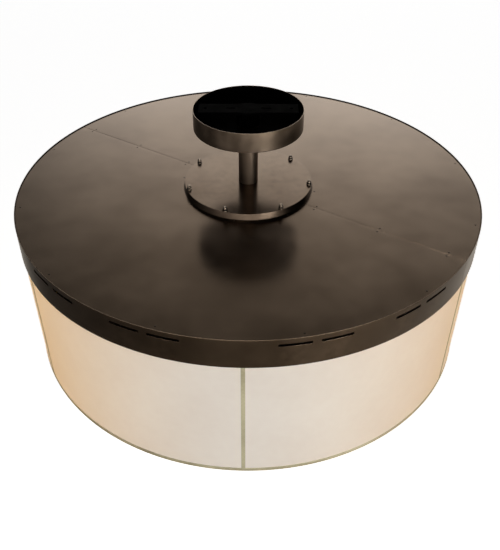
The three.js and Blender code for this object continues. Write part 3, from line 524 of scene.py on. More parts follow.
def parchment(name, glow):
    """Cream laminate with a painted glow where it has one, in place of light from inside."""
    material, tree, shader, place = new_finish(name, Specular_IOR_Level=0.2, Emission_Strength=glow)
    fibres = cloudy(tree, place, 46.0, 0.3)
    blend = weigh(tree, cloudy(tree, place, 7.0, 0.35), fibres, 0.3)
    vary(tree, shader, blend, (0.76, 0.67, 0.57), (0.81, 0.73, 0.63), (0.42, 0.55))
    # The painted glow: stronger in front of each lamp, and faintly cloudy.
    lit = weigh(tree, place_group(tree, PAINTED_PANEL_GLOW, place), blend, 0.2)
    painted_glow_colour = mix_colours(tree, lit, (0.90, 0.52, 0.22), (1.0, 0.72, 0.42))
    plug(tree, painted_glow_colour, shader.inputs["Emission Color"])
    bumped(tree, shader, (fibres, 0.1, 0.0004), (place_group(tree, GRAIN, place, Scale=700.0), 0.05, 0.0003))
    return material


def acrylic(name, glow):
    """Opal acrylic, with a painted pool of light under each unlit lamp where it has a glow."""
    material, tree, shader, place = new_finish(name, Emission_Strength=glow)
    pool = 0.0
    for angle in LAMP_ANGLES:
        away = node(tree, "ShaderNodeVectorMath", operation="DISTANCE")
        plug(tree, place, away.inputs[0])
        lamp = (LAMP_CIRCLE * math.cos(angle), LAMP_CIRCLE * math.sin(angle), LAMP_HEIGHT)
        away.inputs[1].default_value = lamp
        fall = map_range(tree, away.outputs["Value"], PAINTED_POOL_EDGE, PAINTED_POOL_MIDDLE, kind="SMOOTHSTEP")
        pool = math_node(tree, "ADD", pool, fall)
    pool = math_node(tree, "MINIMUM", pool, 1.0)
    painted_glow_colour = mix_colours(tree, pool, (0.80, 0.64, 0.46), (1.0, 0.93, 0.82))
    plug(tree, painted_glow_colour, shader.inputs["Emission Color"])
    clouds = cloudy(tree, place, 5.0, 0.4)
    vary(tree, shader, clouds, (0.80, 0.78, 0.74), (0.85, 0.83, 0.80), (0.22, 0.32))
    bumped(tree, shader, (place_group(tree, GRAIN, place, Scale=500.0), 0.04, 0.0003))
    return material


def china():
    """Glazed white china."""
    material, tree, shader, place = new_finish("glazed_china", Coat_Weight=0.6, Coat_Roughness=0.08)
    clouds = cloudy(tree, place, 40.0, 0.35)
    vary(tree, shader, clouds, (0.74, 0.72, 0.67), (0.82, 0.80, 0.76), (0.25, 0.4))
    bumped(tree, shader, (clouds, 0.08, 0.0005))
    return material


def frosted_bulb():
    """White frosted glass, unlit."""
    material, tree, shader, place = new_finish("frosted_glass", Coat_Weight=0.4)
    clouds = cloudy(tree, place, 25.0, 0.4)
    vary(tree, shader, clouds, (0.84, 0.82, 0.77), (0.90, 0.88, 0.84), (0.3, 0.4))
    return material


PARCHMENT = parchment("parchment", PAINTED_PARCHMENT_GLOW)
PARCHMENT_BACK = parchment("parchment_back", 0.0)
ACRYLIC = acrylic("opal_acrylic", PAINTED_ACRYLIC_GLOW)
ACRYLIC_BACK = acrylic("opal_acrylic_back", 0.0)
CHINA = china()
BULB_GLASS = frosted_bulb()
print("finishes", [material.name for material in bpy.data.materials])

# %% [markdown]
# ## Building pieces
#
# Every piece is made in a bmesh. Round pieces are spun from a profile, straight ones are extruded from an
# outline, and small repeated shapes are stamped. Then the sharp edges are bevelled, because a bright line
# on an edge is what tells the eye that it is metal. A Weighted Normal modifier keeps the flats flat.
# %% Piece helpers
MM = 0.001
TINY = 1e-6
SHARP = math.radians(30)
FINE_ROUND = 192
ROUND = 96
SMALL_ROUND = 40


def oblong(inner, outer, low, high):
    """The profile of a plain ring, or of a plain pin where the inner radius is 0."""
    return [(inner, low), (outer, low), (outer, high), (inner, high)]


def dome(radius, height, base, steps):
    """A round head's profile from its rim to just short of its top, which is under the rim if height < 0."""
    lifts = [math.pi / 2 * i / steps for i in range(steps)]
    return [(radius * math.cos(lift), base + height * math.sin(lift)) for lift in lifts]


def lathe(bm, profile, steps=FINE_ROUND, start=0.0, sweep=math.tau):
    """Spins a closed profile of (radius, height) pairs about Z and closes the ends of a part turn."""
    turn = Matrix.Rotation(start, 4, "Z")
    corners = [bm.verts.new(turn @ Vector((radius, 0, height))) for radius, height in profile]
    edges = [bm.edges.new(pair) for pair in zip(corners, corners[1:] + corners[:1])]
    whole = abs(sweep - math.tau) < TINY
    bmesh.ops.spin(
        bm, geom=corners + edges, cent=(0, 0, 0), axis=(0, 0, 1), angle=sweep, steps=steps, use_merge=whole
    )
    bmesh.ops.remove_doubles(bm, verts=bm.verts, dist=TINY)
    if not whole:
        ends = [edge for edge in bm.edges if edge.is_boundary]
        bmesh.ops.holes_fill(bm, edges=ends, sides=0)
    # An edge that was left on the axis belongs to no face.
    bmesh.ops.delete(bm, geom=[edge for edge in bm.edges if not edge.link_faces], context="EDGES")


def slab(bm, outline, low, high):
    """Raises a closed outline of (x, y) pairs from one height to another."""
    face = bm.faces.new([bm.verts.new((x, y, low)) for x, y in outline])
    risen = bmesh.ops.extrude_face_region(bm, geom=[face])["geom"]
    tops = [item for item in risen if isinstance(item, bmesh.types.BMVert)]
    bmesh.ops.translate(bm, verts=tops, vec=(0, 0, high - low))


def block(bm, x0, x1, y0, y1, z0, z1):
    """A box between two corners."""
    made = bmesh.ops.create_cube(bm, size=1)["verts"]
    bmesh.ops.scale(bm, verts=made, vec=(x1 - x0, y1 - y0, z1 - z0))
    bmesh.ops.translate(bm, verts=made, vec=((x0 + x1) / 2, (y0 + y1) / 2, (z0 + z1) / 2))


def soften(bm, width, segments=3, where=None):
    """Bevels the sharp edges, or only those whose middle passes a test."""
    bmesh.ops.recalc_face_normals(bm, faces=bm.faces)
    sharp = [edge for edge in bm.edges if edge.calc_face_angle(0) > SHARP]
    if where is not None:
        sharp = [edge for edge in sharp if where((edge.verts[0].co + edge.verts[1].co) / 2)]
    bmesh.ops.bevel(
        bm, geom=sharp, offset=width, offset_type="OFFSET", affect="EDGES", segments=segments,
        profile=0.5, clamp_overlap=True, material=-1,
    )


def stamp(bm, shape, places):
    """Adds a copy of another bmesh at each place, which is a matrix."""
    mesh = bpy.data.meshes.new("stamp")
    shape.to_mesh(mesh)
    for place in places:
        copy = mesh.copy()
        copy.transform(place)
        bm.from_mesh(copy)
        bpy.data.meshes.remove(copy)
    bpy.data.meshes.remove(mesh)


def round_about(radius, angle, height=0.0):
    """The place on a circle about the axis, turned to face outwards."""
    turn = Matrix.Rotation(angle, 4, "Z")
    return turn @ Matrix.Translation((radius, 0, height))


def places_round(radius, first, count):
    """Places at equal angles on a circle about the axis."""
    return [round_about(radius, first + math.tau * i / count) for i in range(count)]


def turn_all(bm, angle, axis="Z"):
    """Turns the whole bmesh about an axis through the origin."""
    bmesh.ops.rotate(bm, verts=bm.verts, cent=(0, 0, 0), matrix=Matrix.Rotation(angle, 3, axis))


def move_over(bm, box):
    """Moves what was spun about the origin over the middle of a node's box."""
    middle = (box[0] + box[1]) / 2
    bmesh.ops.translate(bm, verts=bm.verts, vec=(middle.x, middle.y, 0))


def outward(face):
    """How far a face looks away from the axis: 1 is straight out, -1 straight in."""
    return face.normal.dot((face.calc_center_median() * Vector((1, 1, 0))).normalized())


def paint_faces(bm, index, test):
    """Gives the piece's material of this index to the faces that pass a test."""
    bmesh.ops.recalc_face_normals(bm, faces=bm.faces)
    for face in bm.faces:
        if test(face):
            face.material_index = index


def finish_piece(bm, node_name, body, slot, *materials):
    """Makes the bmesh an object that replaces a node, smooths it and ties it to its body. slot is not used.
    """
    bmesh.ops.recalc_face_normals(bm, faces=bm.faces)
    for face in bm.faces:
        face.smooth = True
    for edge in bm.edges:
        edge.smooth = edge.calc_face_angle(0) < SHARP
    mesh = bpy.data.meshes.new(node_name + "_fine")
    bm.to_mesh(mesh)
    bm.free()
    for material in materials:
        mesh.materials.append(material)
    piece = bpy.data.objects.new(mesh.name, mesh)
    bpy.context.scene.collection.objects.link(piece)
    weighted = piece.modifiers.new("weighted_normal", "WEIGHTED_NORMAL")
    weighted.keep_sharp = True
    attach(piece, body)
    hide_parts(node_name)
    print(piece.name, "faces", len(mesh.polygons))
    return piece


def refined_node(node_name, slot, material, width):
    """A copy of a CAD node with its triangles merged into flats and its edges softened."""
    bm = bmesh.new()
    bm.from_mesh(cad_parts[node_name].data)
    bmesh.ops.remove_doubles(bm, verts=bm.verts, dist=0.02 * MM)
    bmesh.ops.dissolve_limit(bm, angle_limit=math.radians(0.5), verts=bm.verts, edges=bm.edges)
    soften(bm, width, 2)
    paint_faces(bm, 0, lambda face: True)
    finish_piece(bm, node_name, "fixture", slot, material)


# %% [markdown]
# ## Canopy, collar and stem
#
# The canopy is a spun cup: a thin wall, a rounded bottom corner and a small lip. Its inside is near-black,
# darker and duller than paint, so part of its dark is painted shade. The collar under it is a plain ring
# with a knurled screw, and both slide on the stem.
# %% Canopy
canopy_low, canopy_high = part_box("canopy")
CANOPY_RADIUS = canopy_high.x
CANOPY_SHEET = 1.5 * MM
LIP = 0.8 * MM
stem_low, stem_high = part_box("stem")
STEM_RADIUS = 25.4 * MM
SLIDE_BORE = STEM_RADIUS + 0.4 * MM

bm = bmesh.new()
canopy_wall = CANOPY_RADIUS - CANOPY_SHEET
canopy_floor = canopy_low.z + CANOPY_SHEET
lathe(
    bm,
    [
        (SLIDE_BORE, canopy_low.z),
        (CANOPY_RADIUS, canopy_low.z),
        (CANOPY_RADIUS, canopy_high.z),
        (canopy_wall, canopy_high.z),
        (canopy_wall, canopy_floor),
        (SLIDE_BORE, canopy_floor),
    ],
)
soften(bm, 2.2 * MM, 5, lambda p: p.xy.length > CANOPY_RADIUS - MM and p.z < canopy_floor)
soften(bm, 0.6 * MM, 3)


def in_the_cup(face):
    """Whether a face of the canopy is inside it and below its lip."""
    middle = face.calc_center_median()
    within = middle.xy.length < canopy_wall + 0.1 * MM
    return within and canopy_floor - 0.1 * MM < middle.z < canopy_high.z - LIP


# The faces inside the cup take the near-black black, which is partly painted shade.
paint_faces(bm, 1, in_the_cup)
finish_piece(bm, "canopy", "canopy", "bronze_enamel", CUP_BRONZE, CUP_SHADOW_BLACK)

# %% Stem
FLANGE_RADIUS = stem_high.x
SPIGOT_RADIUS = STEM_RADIUS - 1.4 * MM
STEM_BORE = STEM_RADIUS - 4 * MM
hub_low, hub_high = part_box("hub_plate")
cap_low, cap_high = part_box("cap_half_1")
flange_seat = cap_low.z
flange_face = flange_seat + 6 * MM

bm = bmesh.new()
lathe(
    bm,
    [
        (STEM_BORE, stem_low.z),
        (SPIGOT_RADIUS, stem_low.z),
        (SPIGOT_RADIUS, flange_seat),
        (FLANGE_RADIUS, flange_seat),
        (FLANGE_RADIUS, flange_face),
        (STEM_RADIUS, flange_face),
        (STEM_RADIUS, stem_high.z),
        (STEM_BORE, stem_high.z),
    ],
    ROUND,
)
soften(bm, 0.5 * MM, 2)
finish_piece(bm, "stem", "fixture", "bronze_enamel", STEM_BRONZE)

# %% Collar and thumb screw
collar_low, collar_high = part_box("canopy_collar")
bm = bmesh.new()
lathe(bm, oblong(SLIDE_BORE, collar_high.x, collar_low.z, collar_high.z), ROUND)
soften(bm, 1.0 * MM, 3)
finish_piece(bm, "canopy_collar", "collar", "bronze_enamel", CUP_BRONZE)

screw_low, screw_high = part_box("collar_thumb_screw")
screw_axis_height = (screw_low.z + screw_high.z) / 2
HEAD_RADIUS = (screw_high.z - screw_low.z) / 2
HEAD_LENGTH = 9 * MM
SHANK_RADIUS = 3 * MM
KNURLS = 24
KNURL_DEPTH = 0.9
bm = bmesh.new()
head_start = screw_high.y - HEAD_LENGTH
lathe(bm, oblong(0, SHANK_RADIUS, screw_low.y, head_start + MM), SMALL_ROUND)
knurled = [
    (HEAD_RADIUS * (1 if i % 2 else KNURL_DEPTH), math.pi * i / KNURLS) for i in range(2 * KNURLS)
]
slab(bm, [(r * math.cos(a), r * math.sin(a)) for r, a in knurled], head_start, screw_high.y)
soften(bm, 0.5 * MM, 2, lambda p: p.z > screw_high.y - TINY or abs(p.z - head_start) < TINY)
lay_back = Matrix.Translation((0, 0, screw_axis_height)) @ Matrix.Rotation(-math.pi / 2, 4, "X")
bmesh.ops.transform(bm, matrix=lay_back, verts=bm.verts)
finish_piece(bm, "collar_thumb_screw", "thumb_screw", "bronze_enamel", NUT_BRONZE)

# %% [markdown]
# ## Mounting cover and acorn nuts
#
# The cover is a shallow pan pressed from sheet. Its wall leans in a little, so that it could leave its die,
# and its rim is rounded. Seven acorn nuts hold it. An acorn nut is a washer, a hexagon with chamfered
# corners and a ball-shaped cap on a short neck.
# %% Mounting cover
cover_low, cover_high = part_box("mounting_cover")
COVER_RADIUS = cover_high.x
COVER_SHEET = 2.2 * MM
COVER_TAPER = 3.6 * MM
COVER_ROUND = 2.2 * MM
bm = bmesh.new()
cover_lean = COVER_TAPER / (cover_high.z - cover_low.z)
cover_ceiling = cover_high.z - COVER_SHEET
cover_rim = COVER_RADIUS - COVER_TAPER
lathe(
    bm,
    [
        (COVER_RADIUS - COVER_SHEET, cover_low.z),
        (COVER_RADIUS, cover_low.z),
        (cover_rim, cover_high.z),
        (SLIDE_BORE, cover_high.z),
        (SLIDE_BORE, cover_ceiling),
        (cover_rim + cover_lean * COVER_SHEET - COVER_SHEET, cover_ceiling),
    ],
)
soften(bm, COVER_ROUND, 6, lambda p: p.xy.length > cover_rim - TINY and p.z > cover_ceiling)
soften(bm, 0.5 * MM, 2)
finish_piece(bm, "mounting_cover", "fixture", "bronze_enamel", CAP_BRONZE)

# %% Acorn nuts
STUDS = 7
STUD_FIRST = math.radians(-8.03)
STUD_CIRCLE = COVER_RADIUS - 10.4 * MM
NUT_FLATS = 11.1 * MM
WASHER_RADIUS = 6.8 * MM
WASHER_THICK = 1.2 * MM
HEX_HEIGHT = 5 * MM
DOME_RADIUS = 5.2 * MM
DOME_SINK = 0.3 * MM
DOME_RISE = 0.5 * MM
NECK_RISE = 0.4 * MM

nut_shape = bmesh.new()
lathe(nut_shape, oblong(0, WASHER_RADIUS, 0, WASHER_THICK), SMALL_ROUND)
hex_corners = NUT_FLATS / math.sqrt(3)
turns = [math.tau * i / 6 for i in range(6)]
hex_low = WASHER_THICK + 0.05 * MM
slab(
    nut_shape,
    [(hex_corners * math.cos(turn), hex_corners * math.sin(turn)) for turn in turns],
    hex_low,
    hex_low + HEX_HEIGHT,
)
soften(nut_shape, 0.45 * MM, 2)
dome_base = hex_low + HEX_HEIGHT - DOME_SINK
neck = [(0, dome_base), (DOME_RADIUS * 0.9, dome_base), (DOME_RADIUS * 0.9, dome_base + NECK_RISE)]
ball = dome(DOME_RADIUS, DOME_RADIUS, dome_base + DOME_RISE, 10)
lathe(nut_shape, neck + ball + [(0, dome_base + DOME_RISE + DOME_RADIUS)], SMALL_ROUND)
for index in range(STUDS):
    bm = bmesh.new()
    nut_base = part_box(f"acorn_nut_{index + 1}")[0].z
    stamp(bm, nut_shape, [round_about(STUD_CIRCLE, STUD_FIRST + math.tau * index / STUDS, nut_base)])
    finish_piece(bm, f"acorn_nut_{index + 1}", "fixture", "bronze_hardware", NUT_BRONZE)
nut_shape.free()

# %% [markdown]
# ## Hub plate, cap and skirt
#
# The cap is two half discs that meet on a seam. Rivets with low round heads hold them to the hub plate,
# to a splice bar under each arm of the seam, and to the skirt's flange. A rivet's head is spun from a
# short arc and stamped on each place.
# %% Rivets and hub plate
SEAM = math.radians(-33.8)
RIVET_RADIUS = 3.2 * MM
RIVET_HEIGHT = 1.6 * MM
RIVET_SHANK = 1.8 * MM
RIVET_BRIM = 0.25 * MM
HUB_RIVETS = 8
HUB_RIVET_OUTSET = 5.7 * MM
HUB_THICK = 5 * MM
HUB_STUD_RADIUS = 3.1 * MM
rivet_seat = cap_high.z + 0.3 * MM

rivet_shape = bmesh.new()
rivet_end = cap_low.z - 2 * MM
shank = [(0, rivet_end), (RIVET_SHANK, rivet_end), (RIVET_SHANK, rivet_seat)]
head = dome(RIVET_RADIUS, RIVET_HEIGHT - RIVET_BRIM, rivet_seat + RIVET_BRIM, 6)
top = (0, rivet_seat + RIVET_HEIGHT)
lathe(rivet_shape, [*shank, (RIVET_RADIUS, rivet_seat), *head, top], 20)
for face in rivet_shape.faces:
    face.material_index = 1

HUB_RADIUS = hub_high.x
bm = bmesh.new()
lathe(bm, oblong(SPIGOT_RADIUS + 0.4 * MM, HUB_RADIUS, hub_low.z, hub_low.z + HUB_THICK), ROUND)
soften(bm, 0.6 * MM, 2)
stud_shape = bmesh.new()
lathe(stud_shape, oblong(0, HUB_STUD_RADIUS, hub_low.z + MM, hub_high.z), 24)
stamp(bm, stud_shape, places_round(STUD_CIRCLE, STUD_FIRST, STUDS))
stud_shape.free()
hub_rivet_first = SEAM + math.pi / HUB_RIVETS
stamp(bm, rivet_shape, places_round(COVER_RADIUS + HUB_RIVET_OUTSET, hub_rivet_first, HUB_RIVETS))
finish_piece(bm, "hub_plate", "fixture", "bronze_hardware", FRAME_BRONZE, RIVET_BRONZE)

# %% [markdown]
# A half disc is a line of points spun through half a turn, which gives even faces that can carry the slow
# waves of sheet metal. `bisect_plane` then trims it along the seam. The plane leans by a hair, so the gap
# opens from almost nothing at one end to half a millimetre at the other, as a real joint does. A Solidify
# modifier gives the disc the thickness of the sheet.
# %% Cap halves
DRUM_RADIUS = 609.6 * MM
SKIRT_SHEET = 1.5 * MM
CAP_RADIUS = DRUM_RADIUS - SKIRT_SHEET - 0.5 * MM
CAP_HOLE = FLANGE_RADIUS + 6 * MM
CAP_SHEET = cap_high.z - cap_low.z
SEAM_HALF_GAP = 0.25 * MM
SEAM_LEAN = SEAM_HALF_GAP * 0.8 / CAP_RADIUS
CAP_RINGS = 14


def half_disc(number, start):
    """One half of the cap, from its seam edge round to the other."""
    bm = bmesh.new()
    turn = Matrix.Rotation(start, 4, "Z")
    step = (CAP_RADIUS - CAP_HOLE) / CAP_RINGS
    line = [bm.verts.new(turn @ Vector((CAP_HOLE + i * step, 0, cap_high.z))) for i in range(CAP_RINGS + 1)]
    edges = [bm.edges.new(pair) for pair in zip(line, line[1:])]
    bmesh.ops.spin(
        bm, geom=line + edges, cent=(0, 0, 0), axis=(0, 0, 1), angle=math.pi, steps=FINE_ROUND // 2
    )
    away = turn @ Vector((0, 1, 0))
    lean = Matrix.Rotation(-SEAM_LEAN if number == 1 else SEAM_LEAN, 3, "Z")
    bmesh.ops.bisect_plane(
        bm,
        geom=bm.verts[:] + bm.edges[:] + bm.faces[:],
        plane_co=away * SEAM_HALF_GAP,
        plane_no=lean @ away,
        clear_inner=True,
    )
    bmesh.ops.recalc_face_normals(bm, faces=bm.faces)
    if bm.faces[:][0].normal.z < 0:
        bmesh.ops.reverse_faces(bm, faces=bm.faces)
    piece = finish_piece(bm, f"cap_half_{number}", "fixture", "bronze_enamel", CAP_BRONZE)
    thick = piece.modifiers.new("sheet", "SOLIDIFY")
    thick.thickness = CAP_SHEET
    thick.offset = -1
    rounded = piece.modifiers.new("edge", "BEVEL")
    rounded.width = 0.4 * MM
    rounded.segments = 2
    rounded.limit_method = "ANGLE"
    piece.modifiers.move(0, 2)


half_disc(1, SEAM)
half_disc(2, SEAM + math.pi)

# %% [markdown]
# The skirt's wall is spun too, but in stretches: each stretch ends at the edge of a vent slot, so the
# slots are whole faces that can simply be deleted. Solidify then turns the wall into sheet inwards. The
# skirt's inside is near-black, and a thin near-black bead fills the corner between lip and cap: both are
# painted shade, darker and duller than paint, for the shade inside the lip.
# %% Skirt halves
skirt_low, skirt_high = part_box("skirt_half_1")
SLOT_MIDDLE = skirt_high.z - 17 * MM
SLOT_HALF_HEIGHT = 3.5 * MM
SLOT_HALF_ARC = math.radians(6.75 / 2)
SLOT_STEP = math.radians(4.3)
PAIR_STEP = math.radians(12.7)
GROUPS = 6
FLANGE_WIDTH = 32 * MM
FLANGE_RIVETS = 12
FLANGE_RIVET_INSET = 14 * MM
STRETCH_STEP = math.radians(1.9)
SHADOW_BEAD_WIDTH = 3.0 * MM
SHADOW_BEAD_HEIGHT = 2.4 * MM
SEAM_HALF_ANGLE = SEAM_HALF_GAP / DRUM_RADIUS
flange_top = cap_low.z - 0.3 * MM

slot_middles = sorted(
    math.tau * (group + 0.5) / GROUPS + pair * PAIR_STEP + slot * SLOT_STEP
    for group in range(GROUPS // 2)
    for pair in (-1, 1)
    for slot in (-1, 1)
)


def skirt_half(number, start):
    """One half of the skirt, with its slots, its flange and the rivets that hold the cap to it."""
    bm = bmesh.new()
    levels = [skirt_low.z, SLOT_MIDDLE - SLOT_HALF_HEIGHT, SLOT_MIDDLE + SLOT_HALF_HEIGHT, skirt_high.z]
    turn = Matrix.Rotation(start + SEAM_HALF_ANGLE, 4, "Z")
    line = [bm.verts.new(turn @ Vector((DRUM_RADIUS, 0, level))) for level in levels]
    edge_of_wall = [bm.edges.new(pair) for pair in zip(line, line[1:])]
    last = line + edge_of_wall
    stops = [m + side * SLOT_HALF_ARC for m in slot_middles for side in (-1, 1)] + [math.pi - SEAM_HALF_ANGLE]
    here = SEAM_HALF_ANGLE
    openings = []
    for index, stop in enumerate(stops):
        steps = max(1, round((stop - here) / STRETCH_STEP))
        known = set(bm.faces)
        last = bmesh.ops.spin(
            bm, geom=last, cent=(0, 0, 0), axis=(0, 0, 1), angle=stop - here, steps=steps
        )["geom_last"]
        if index % 2:
            heights = {face: face.calc_center_median().z for face in bm.faces if face not in known}
            openings += [face for face, z in heights.items() if abs(z - SLOT_MIDDLE) < SLOT_HALF_HEIGHT]
        here = stop
    bmesh.ops.delete(bm, geom=openings, context="FACES")
    bmesh.ops.remove_doubles(bm, verts=bm.verts, dist=TINY)
    bmesh.ops.recalc_face_normals(bm, faces=bm.faces)
    if outward(bm.faces[:][0]) < 0:
        bmesh.ops.reverse_faces(bm, faces=bm.faces)
    bmesh.ops.solidify(bm, geom=bm.faces[:], thickness=SKIRT_SHEET)
    soften(bm, 0.45 * MM, 2)
    # The inward faces are near-black painted shade.
    paint_faces(bm, 2, lambda face: outward(face) < -0.5)
    inner = DRUM_RADIUS - SKIRT_SHEET - 0.1 * MM
    half_turn = (FINE_ROUND // 2, start + SEAM_HALF_ANGLE, math.pi - 2 * SEAM_HALF_ANGLE)
    lathe(bm, oblong(DRUM_RADIUS - FLANGE_WIDTH, inner, flange_top - SKIRT_SHEET, flange_top), *half_turn)
    bare_faces = set(bm.faces)
    # The bead in the corner between lip and cap is near-black painted shade.
    bead_foot = cap_high.z + 0.05 * MM
    bead = [(inner - SHADOW_BEAD_WIDTH, bead_foot), (inner, bead_foot), (inner, bead_foot + SHADOW_BEAD_HEIGHT)]
    lathe(bm, bead, *half_turn)
    for face in set(bm.faces) - bare_faces:
        face.material_index = 2
    first = start + math.pi / FLANGE_RIVETS
    places = places_round(DRUM_RADIUS - FLANGE_RIVET_INSET, first, FLANGE_RIVETS)
    stamp(bm, rivet_shape, places[: FLANGE_RIVETS // 2])
    finishes = SKIRT_BRONZE, RIVET_BRONZE, LINING_SHADOW_BLACK
    finish_piece(bm, f"skirt_half_{number}", "fixture", "bronze_enamel", *finishes)


skirt_half(1, SEAM)
skirt_half(2, SEAM + math.pi)

# %% Splice bars
SPLICE_HALF_WIDTH = 20 * MM
SPLICE_THICK = 3 * MM
SPLICE_RIVET_OFFSET = 7.75 * MM
splice_near = HUB_RADIUS + 7 * MM
splice_far = DRUM_RADIUS - FLANGE_WIDTH - 1.4 * MM
pair_near = HUB_RADIUS + 17 * MM
pair_far = DRUM_RADIUS - FLANGE_WIDTH - 14.6 * MM
splice_top = cap_low.z - 0.3 * MM
for number, turn in ((1, SEAM), (2, SEAM + math.pi)):
    bm = bmesh.new()
    half = SPLICE_HALF_WIDTH
    block(bm, splice_near, splice_far, -half, half, splice_top - SPLICE_THICK, splice_top)
    soften(bm, 0.5 * MM, 2)
    radii = [pair_near, (pair_near + pair_far) / 2, pair_far]
    pairs = [(radius, side * SPLICE_RIVET_OFFSET, 0) for radius in radii for side in (-1, 1)]
    stamp(bm, rivet_shape, [Matrix.Translation(place) for place in pairs])
    turn_all(bm, turn)
    finish_piece(bm, f"seam_splice_{number}", "fixture", "bronze_hardware", FRAME_BRONZE, RIVET_BRONZE)
rivet_shape.free()

# %% [markdown]
# ## The shade
#
# Six curved sheets stand between six upright strips. A strip is an I in section, so the edges of two
# sheets sit in its sides. A top ring hangs from the skirt's flange by four hangers, and the bottom ring
# has a lip inside for the diffuser.
# %% Rings
SHADE_RADIUS = DRUM_RADIUS - SKIRT_SHEET - 1.6 * MM
FRAME_DEPTH = 6 * MM
FRAME_INNER = SHADE_RADIUS - FRAME_DEPTH
ring_low, ring_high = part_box("shade_bottom_ring")
LIP_INNER = FRAME_INNER - 12 * MM
LIP_THICK = 2 * MM
bm = bmesh.new()
lathe(
    bm,
    [
        (LIP_INNER, ring_low.z),
        (SHADE_RADIUS, ring_low.z),
        (SHADE_RADIUS, ring_high.z),
        (FRAME_INNER, ring_high.z),
        (FRAME_INNER, ring_low.z + LIP_THICK),
        (LIP_INNER, ring_low.z + LIP_THICK),
    ],
)
soften(bm, 0.8 * MM, 3)
finish_piece(bm, "shade_bottom_ring", "fixture", "antique_brass", BRASS)

TOP_RING_HEIGHT = 12 * MM
HANGER_ANGLES = [SEAM + math.radians(a) for a in (60, 120, 240, 300)]
HANGER_HALF_WIDTH = 11 * MM
HANGER_THICK = 2 * MM
HANGER_FOOT = 24 * MM
top_low, top_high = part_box("shade_top_ring")
bm = bmesh.new()
lathe(bm, oblong(FRAME_INNER, SHADE_RADIUS, top_low.z, top_low.z + TOP_RING_HEIGHT))
hanger_shape = bmesh.new()
hanger_outer = FRAME_INNER + FRAME_DEPTH / 2
hanger_low, hanger_high = top_low.z + MM, top_high.z
foot_end = hanger_outer - HANGER_FOOT
leg_inner = hanger_outer - HANGER_THICK
angle_section = [
    (hanger_outer, hanger_low),
    (hanger_outer, hanger_high),
    (foot_end, hanger_high),
    (foot_end, hanger_high - HANGER_THICK),
    (leg_inner, hanger_high - HANGER_THICK),
    (leg_inner, hanger_low),
]
slab(hanger_shape, angle_section, -HANGER_HALF_WIDTH, HANGER_HALF_WIDTH)
turn_all(hanger_shape, math.pi / 2, "X")
stamp(bm, hanger_shape, [Matrix.Rotation(angle, 4, "Z") for angle in HANGER_ANGLES])
hanger_shape.free()
soften(bm, 0.6 * MM, 2)
finish_piece(bm, "shade_top_ring", "fixture", "antique_brass", BRASS)

# %% Shade screws
SCREW_HEAD_RADIUS = 4.5 * MM
SCREW_HEAD_HEIGHT = 3 * MM
SCREW_SHANK = 2 * MM
for number in range(1, len(HANGER_ANGLES) + 1):
    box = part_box(f"shade_screw_{number}")
    low, high = box[0].z, box[1].z
    seat = low + SCREW_HEAD_HEIGHT
    pan = dome(SCREW_HEAD_RADIUS, -SCREW_HEAD_HEIGHT, seat, 6)[::-1]
    bm = bmesh.new()
    lathe(bm, [(0, low), *pan, (SCREW_SHANK, seat), (SCREW_SHANK, high), (0, high)], SMALL_ROUND)
    move_over(bm, box)
    finish_piece(bm, f"shade_screw_{number}", "fixture", "zinc_steel", ZINC)

# %% Stiles and sheets
STILE_FACE = 0.8 * MM
SHEET = 1.5 * MM
GAP = 0.3 * MM
sheet_outer = SHADE_RADIUS - STILE_FACE - GAP
sheet_inner = sheet_outer - SHEET
FACE_HALF, WEB_HALF, BACK_HALF = 4.75 * MM, 1.5 * MM, 8 * MM
stile_back = sheet_inner - 2 * GAP
stile_outline = [
    (SHADE_RADIUS, FACE_HALF),
    (SHADE_RADIUS - STILE_FACE, FACE_HALF),
    (SHADE_RADIUS - STILE_FACE, WEB_HALF),
    (stile_back, WEB_HALF),
    (stile_back, BACK_HALF),
    (FRAME_INNER, BACK_HALF),
]
stile_outline += [(x, -y) for x, y in reversed(stile_outline)]
sheet_margin = (WEB_HALF + GAP) / sheet_inner
sheet_section = oblong(sheet_inner, sheet_outer, shade_low, shade_high)
for index in range(PANELS):
    angle = FRONT_STILE + math.tau * index / PANELS
    stile_low, stile_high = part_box(f"shade_stile_{index + 1}")
    bm = bmesh.new()
    slab(bm, stile_outline, stile_low.z, stile_high.z)
    turn_all(bm, angle)
    soften(bm, 0.25 * MM, 2)
    finish_piece(bm, f"shade_stile_{index + 1}", "fixture", "antique_brass", BRASS)

    bm = bmesh.new()
    lathe(bm, sheet_section, 40, angle + sheet_margin, math.tau / PANELS - 2 * sheet_margin)
    # Only the outer faces take the painted glow; the inner ones take the copy without it.
    paint_faces(bm, 1, lambda face: outward(face) <= 0.5)
    finish_piece(bm, f"shade_panel_{index + 1}", "fixture", "parchment", PARCHMENT, PARCHMENT_BACK)

# %% [markdown]
# ## The diffuser
#
# Two half discs of opal acrylic lie on the bottom ring's lip and on a T bar. Each lifts on its own.
# %% Diffuser
DIFFUSER_HALF_SPLIT = 3 * MM
